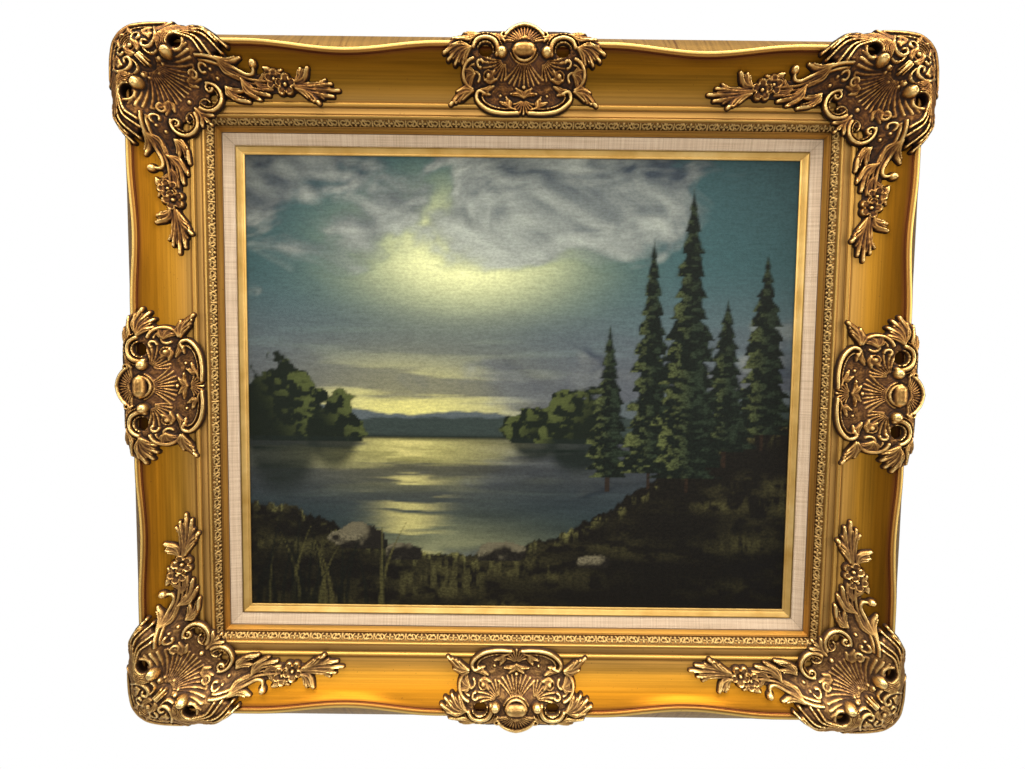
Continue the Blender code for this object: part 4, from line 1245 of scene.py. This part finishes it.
def sky(u, v):
    """Broken cloud, lit from a low glow and from a thinner patch above it."""
    spots = np.column_stack([u * 125.0, v * 190.0])
    bend = value_noise(spots, 30.0, 17, 3)
    spots = spots + np.column_stack([bend, 1 - bend]) * 26.0
    lumps = value_noise(spots, 46.0, 3, 6)
    toward = value_noise(spots + (-2.2, -3.4), 46.0, 3, 6)
    lit = np.clip((lumps - toward) * 9.0, -1.0, 1.0)
    glow = np.exp(-(((u - GLOW) / 0.20) ** 2 + ((v - 0.43) / 0.11) ** 2))
    high = np.exp(-(((u - 0.40) / 0.17) ** 2 + ((v - 0.80) / 0.11) ** 2))
    colours = np.tile((0.045, 0.105, 0.115), (len(u), 1))
    colours = blend(colours, (0.150, 0.170, 0.190), 1.0 - ease(v, 0.42, 0.80))
    colours = blend(colours, (0.72, 0.68, 0.24), np.clip(glow * 1.05, 0, 1))
    colours = blend(colours, (0.84, 0.88, 0.46), np.clip(high * 1.3, 0, 1) * ease(lumps, 0.62, 0.40))
    cloud = ease(lumps, 0.46, 0.54)
    light = np.clip(0.30 + 0.75 * lit + 0.35 * high, 0, 1)
    shade = blend(np.tile((0.050, 0.064, 0.085), (len(u), 1)), (0.46, 0.50, 0.44), light)
    colours += (shade - colours) * (cloud * (0.92 - 0.60 * glow))[:, None]
    wisps = ease(value_noise(np.column_stack([u * 70.0, v * 520.0]), 26.0, 21, 5), 0.54, 0.64)
    colours = blend(colours, (0.075, 0.085, 0.105), wisps * ease(v, 0.74, 0.45) * 0.75)
    return colours


def bush(u, v, spots, middle, size, seed):
    """Cover and light of one round-topped broadleaf tree or bush."""
    rough = value_noise(spots, 3.4, seed, 4) - 0.5
    shape = 1.0 - np.hypot((u - middle[0]) / size[0], (v - middle[1]) / size[1]) + rough * 0.9
    leafy = value_noise(spots, 1.3, seed + 1, 3)
    toward = np.sign(GLOW - middle[0])
    side = 0.35 + 0.5 * (v - middle[1]) / size[1] + 0.6 * toward * (u - middle[0]) / size[0]
    return ease(shape, 0.0, 0.08), ease(side, 0.2, 1.0) * ease(leafy, 0.47, 0.60)


def lake(u, v, spots):
    """Sky, hills, water and the trees on the far shore."""
    rough = value_noise(spots, 3.0, 5, 4)
    colours = sky(u, np.maximum(v, SHORE))
    for height, swing, seed, colour in HILLS:
        noise = value_noise(np.column_stack([u * 100.0, u * 0]), 26.0, seed, 5) - 0.4
        ridge = SHORE + height * (0.35 + 1.1 * np.abs(u - 0.30)) + swing * noise
        colours = blend(colours, colour, ease(ridge + (rough - 0.5) * 0.012 - v, -0.002, 0.004))
    ripple = value_noise(np.column_stack([u * 40.0, v * 420.0]), 6.0, 9, 3)
    water = sky(u + (ripple - 0.5) * 0.03, SHORE + (SHORE - v) * 1.5) * (0.30 + 0.40 * ripple)[:, None]
    lit = np.exp(-(((u - GLOW) / 0.14) ** 2))
    water = blend(water, (0.014, 0.026, 0.032), 0.65 * ease(v, SHORE, SHORE - 0.20) * (1.0 - 0.5 * lit))
    path = np.exp(-(((u - GLOW - (ripple - 0.5) * 0.05) / 0.05) ** 2)) * ease(ripple, 0.46, 0.56)
    water = blend(water, (0.66, 0.60, 0.22), path * 0.8)
    colours = np.where((v < SHORE)[:, None], water, colours)
    colours = blend(colours, (0.010, 0.015, 0.010), np.exp(-(((v - SHORE) / 0.005) ** 2)) * 0.9)
    for middle, size, seed in BUSHES:
        cover, lit = bush(u, v, spots, middle, size, seed)
        cover *= v > SHORE - 0.010
        colours = blend(colours, (0.007, 0.012, 0.007), cover)
        colours = blend(colours, (0.085, 0.105, 0.030), cover * lit * 0.85)
        away = np.hypot((u - middle[0]) / size[0], (SHORE - v) / size[1])
        mirrored = ease(1.0 - away, 0.0, 0.4) * (v < SHORE)
        colours = blend(colours, (0.008, 0.014, 0.011), mirrored * (0.5 + 0.6 * ripple))
    return colours


def ground(u, v, bank):
    """Rough dark turf, with pale grass along its upper edge and a few lit clods."""
    rolls = value_noise(np.column_stack([u * 60.0, v * 150.0]), 14.0, 81, 3)
    clods = value_noise(np.column_stack([u * 260.0, v * 420.0]), 7.0, 83, 4)
    blades = value_noise(np.column_stack([u * 600.0, v * 160.0]), 5.0, 85, 3)
    colours = np.tile((0.007, 0.006, 0.004), (len(u), 1))
    colours = blend(colours, (0.030, 0.027, 0.011), ease(rolls, 0.40, 0.62) * ease(clods, 0.36, 0.60))
    grass = ease(rolls, 0.54, 0.68) * ease(blades, 0.42, 0.62)
    colours = blend(colours, (0.080, 0.074, 0.026), grass * 0.75)
    edge = np.exp(-(((bank - v) / 0.022) ** 2))
    return blend(colours, (0.170, 0.165, 0.055), ease(blades, 0.48, 0.64) * edge * ease(clods, 0.42, 0.58))


def painting(u, v):
    """Colour of the picture at each point and how much it is dabbed. u and v go from 0 to 1 across and up."""
    spots = np.column_stack([u, v]) * 100.0
    colours = lake(u, v, spots)
    dabbed = np.full(len(u), 0.22)
    bank = 0.13 + 0.29 * ease(u + 0.10 * (value_noise(spots, 9.0, 73, 3) - 0.5), 0.42, 0.98)
    bank += 0.09 * ease(0.32 - u, 0.0, 0.3) + 0.05 * (value_noise(spots, 16.0, 71, 5) - 0.5)
    bank += 0.022 * (value_noise(np.column_stack([u * 700.0, v * 40.0]), 6.0, 87, 2) - 0.5)
    land = ease(bank - v, -0.002, 0.003)
    colours += (ground(u, v, bank) - colours) * land[:, None]
    dabbed += 0.6 * land
    for number, (centre, foot, top, wide) in enumerate(CONIFERS):
        cover = conifer(u, v, foot, top, centre, wide, 90 + number)
        trunk = (np.abs(u - centre) < 0.0035) & (v < foot + 0.02) & (v > foot - 0.035)
        colours = blend(colours, (0.024, 0.014, 0.008), trunk * 0.9)
        leafy = value_noise(np.column_stack([u * 100.0, v * 150.0]), 1.3, 110 + number, 3)
        colours = blend(colours, (0.005, 0.009, 0.006), cover)
        colours = blend(colours, (0.022, 0.036, 0.020), cover * ease(leafy, 0.50, 0.64) * 0.7)
        side = ease(centre + wide * 0.2 - u, 0.0, wide)
        colours = blend(colours, (0.100, 0.118, 0.038), cover * side * ease(leafy, 0.48, 0.60) * 0.9)
        dabbed = np.maximum(dabbed, 0.9 * cover)
    for centre, low, wide, tall, seed in ROCKS:
        rough = (value_noise(spots, 2.2, seed, 4) - 0.5) * 0.7
        rock = 1.0 - np.hypot((u - centre) / wide, (v - low) / tall) + rough
        cover = ease(rock, 0.0, 0.06) * (v > low - tall * 0.55)
        lit = (v - low) / tall * 0.45 - (u - centre) / wide * 0.25
        facet = ease(value_noise(spots, 2.6, seed + 5, 3) + lit, 0.46, 0.72)
        colours = blend(colours, (0.014, 0.012, 0.009), cover)
        colours = blend(colours, (0.190, 0.170, 0.105), cover * facet * 0.85)
    for number in range(30):
        foot, tall, lean = (hashed(np.array([number, part]), 5) for part in (1, 2, 3))
        share = np.clip((v + 0.01) / (0.10 + 0.13 * tall), 0.0, 1.0)
        middle = 0.01 + 0.26 * foot + (0.11 * lean - 0.05) * share**2
        blade = ease(0.0042 * (1.05 - share) - np.abs(u - middle), -0.0012, 0.0010) * (share < 1.0)
        tint = (0.095, 0.088, 0.028) if number % 4 == 0 else (0.006, 0.008, 0.005)
        colours = blend(colours, tint, blade * 0.85)
    corner = ease(np.hypot((u - 0.46) * 1.1, v - 0.56), 0.40, 0.80)
    light = (1.0 - 0.5 * corner) * (0.90 - 0.14 * ease(0.36 - v, 0.0, 0.30))
    colours = np.clip(colours * light[:, None], 0.002, 1.0)
    return np.column_stack([colours, dabbed])


def canvas():
    """The stretched canvas: painted front, and raw cloth on the turned sides and behind."""
    wide = SIGHT_W / 2 + CANVAS_LAP
    tall = SIGHT_H / 2 + CANVAS_LAP
    front = SLIP_BACK - CLEAR
    columns = round(2 * wide / PAINT_STEP) + 1
    rows = round(2 * tall / PAINT_STEP) + 1
    xs, zs = np.meshgrid(np.linspace(-wide, wide, columns), np.linspace(-tall, tall, rows))
    xs, zs = xs.ravel(), zs.ravel()
    faces = grid_faces(rows, columns)
    points = [np.column_stack([xs, np.full(len(xs), -(BACK + front)), zs + MIDDLE_Z])]
    colours = [painting(xs / SIGHT_W + 0.5, zs / SIGHT_H + 0.5)]
    indices = [0] * len(faces)
    start = len(xs)
    ring = [(-1, -1), (1, -1), (1, 1), (-1, 1)]
    turned = front - TURN_DEPTH
    depths = [(0.0, front), (0.0, turned), (CANVAS_T, turned), (CANVAS_T, front - CANVAS_T)]
    for inset, d in depths:
        loop = [(x * (wide - inset), -(BACK + d), z * (tall - inset) + MIDDLE_Z) for x, z in ring]
        points.append(np.array(loop))
        colours.append(np.full((4, 4), 0.05))
    for layer in range(3):
        for i in range(4):
            j = (i + 1) % 4
            low, high = start + 4 * layer, start + 4 * (layer + 1)
            faces.append([low + j, low + i, high + i, high + j])
            indices.append(1)
    faces.append([start + 12 + i for i in range(4)])
    indices.append(1)
    made = piece(
        "painted_canvas",
        np.concatenate(points) * MM,
        faces,
        [oil_paint(), raw_canvas()],
        indices,
        smooth=False,
        colours=np.concatenate(colours),
        attribute="paint",
    )
    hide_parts("canvas")


# Stage

# The camera that fits the photograph: its place in metres from the middle of the picture, its turns in
# radians and its focal length in pixels of a frame 1025 wide
CAMERA_X, CAMERA_Z, CAMERA_AWAY = -0.00826, 0.07218, 0.84774
ROLL, PITCH, YAW = -0.01159, 0.08145, -0.00036
FOCAL, FRAME_W = 772.79, 1025.0
FLOOR_Z = -1.85


def camera():
    """The camera, at the photograph's place and angle."""
    cosine, sine = math.cos(YAW), math.sin(YAW)
    yaw = np.array([[cosine, -sine, 0], [sine, cosine, 0], [0, 0, 1]])
    cosine, sine = math.cos(PITCH), math.sin(PITCH)
    pitch = np.array([[1, 0, 0], [0, cosine, sine], [0, -sine, cosine]])
    cosine, sine = math.cos(ROLL), math.sin(ROLL)
    roll = np.array([[cosine, 0, sine], [0, 1, 0], [-sine, 0, cosine]])
    turn = yaw @ pitch @ roll
    made = bpy.data.objects.new("camera", bpy.data.cameras.new("camera"))
    made.data.sensor_fit = "HORIZONTAL"
    made.data.sensor_width = 36.0
    made.data.lens = 36.0 * FOCAL / FRAME_W
    made.data.clip_start = 0.01
    matrix = Matrix(np.column_stack([turn[:, 0], turn[:, 2], -turn[:, 1]]).tolist()).to_4x4()
    matrix.translation = Vector((CAMERA_X, -BACK * MM - CAMERA_AWAY, MIDDLE_Z * MM + CAMERA_Z))
    made.matrix_world = matrix
    bpy.context.scene.collection.objects.link(made)
    bpy.context.scene.camera = made


def area_light(name, at, size, energy, aim=(0.0, 0.0, -0.32)):
    """A soft warm-white light that is turned towards the middle of the picture."""
    data = bpy.data.lights.new(name, "AREA")
    data.color = (1.0, 0.94, 0.85)
    data.shape = "RECTANGLE"
    data.size, data.size_y = size
    data.energy = energy
    made = bpy.data.objects.new(name, data)
    made.location = at
    made.rotation_euler = (Vector(aim) - Vector(at)).to_track_quat("-Z", "Y").to_euler()
    bpy.context.scene.collection.objects.link(made)


def stage():
    """A pale floor at the height below a hung picture, a white room and soft light from above."""
    world = bpy.data.worlds.new("pale_room")
    world.use_nodes = True
    tree = world.node_tree
    ray = tree.nodes.new("ShaderNodeLightPath")
    strength = tree.nodes.new("ShaderNodeMapRange")
    strength.inputs["To Min"].default_value = 0.24
    strength.inputs["To Max"].default_value = 1.0
    tree.links.new(ray.outputs["Is Camera Ray"], strength.inputs["Value"])
    background = tree.nodes["Background"]
    background.inputs["Color"].default_value = (1.0, 1.0, 1.0, 1.0)
    tree.links.new(strength.outputs[0], background.inputs["Strength"])
    bpy.context.scene.world = world
    made = Nodes("pale_floor")
    tint = made.ramp(made.noise(3.0, 2.0), [(0.3, (0.86, 0.86, 0.86)), (0.7, (0.92, 0.92, 0.92))])
    made.finish(tint, 0.9, 0.0)
    mesh = bpy.data.meshes.new("floor")
    corners = [(-3.0, -3.0), (3.0, -3.0), (3.0, 1.4), (-3.0, 1.4)]
    mesh.from_pydata([(x, y, FLOOR_Z) for x, y in corners], [], [(0, 1, 2, 3)])
    mesh.materials.append(made.material)
    floor = bpy.data.objects.new("floor", mesh)
    bpy.context.scene.collection.objects.link(floor)
    area_light("above", (0.0, -0.45, 1.0), (2.6, 0.7), 50.0)
    area_light("front", (-0.2, -2.2, 0.3), (2.0, 1.2), 18.0)
    area_light("left", (-1.5, -0.8, -0.1), (0.6, 1.2), 6.0)
    area_light("right", (1.5, -0.8, -0.1), (0.6, 1.2), 12.0)
    bpy.context.scene.view_settings.view_transform = "Standard"


camera()
STREAKED = {side: streaked_gilt(side) for side in SIDES}
SLIP_LEAF = gilt_slip("gilt_slip_leaf", 1.0)
# The slip's outer edge: the same gilt painted darker, as painted shade
SLIP_SHADE = gilt_slip("gilt_slip_painted_shade", 0.42)
LINEN = linen_cloth()
PINE = [pine_wood(False, False), pine_wood(True, False)]
CAST = cast_gilt()
for side in SIDES:
    rail(side)
    course(side)
    slip(side)
    liner(side)
    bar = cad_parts["stretcher_bar_" + side]
    bar.data.materials.clear()
    bar.data.materials.append(PINE[side in ("bottom", "top")])
castings()
canvas()
stage()
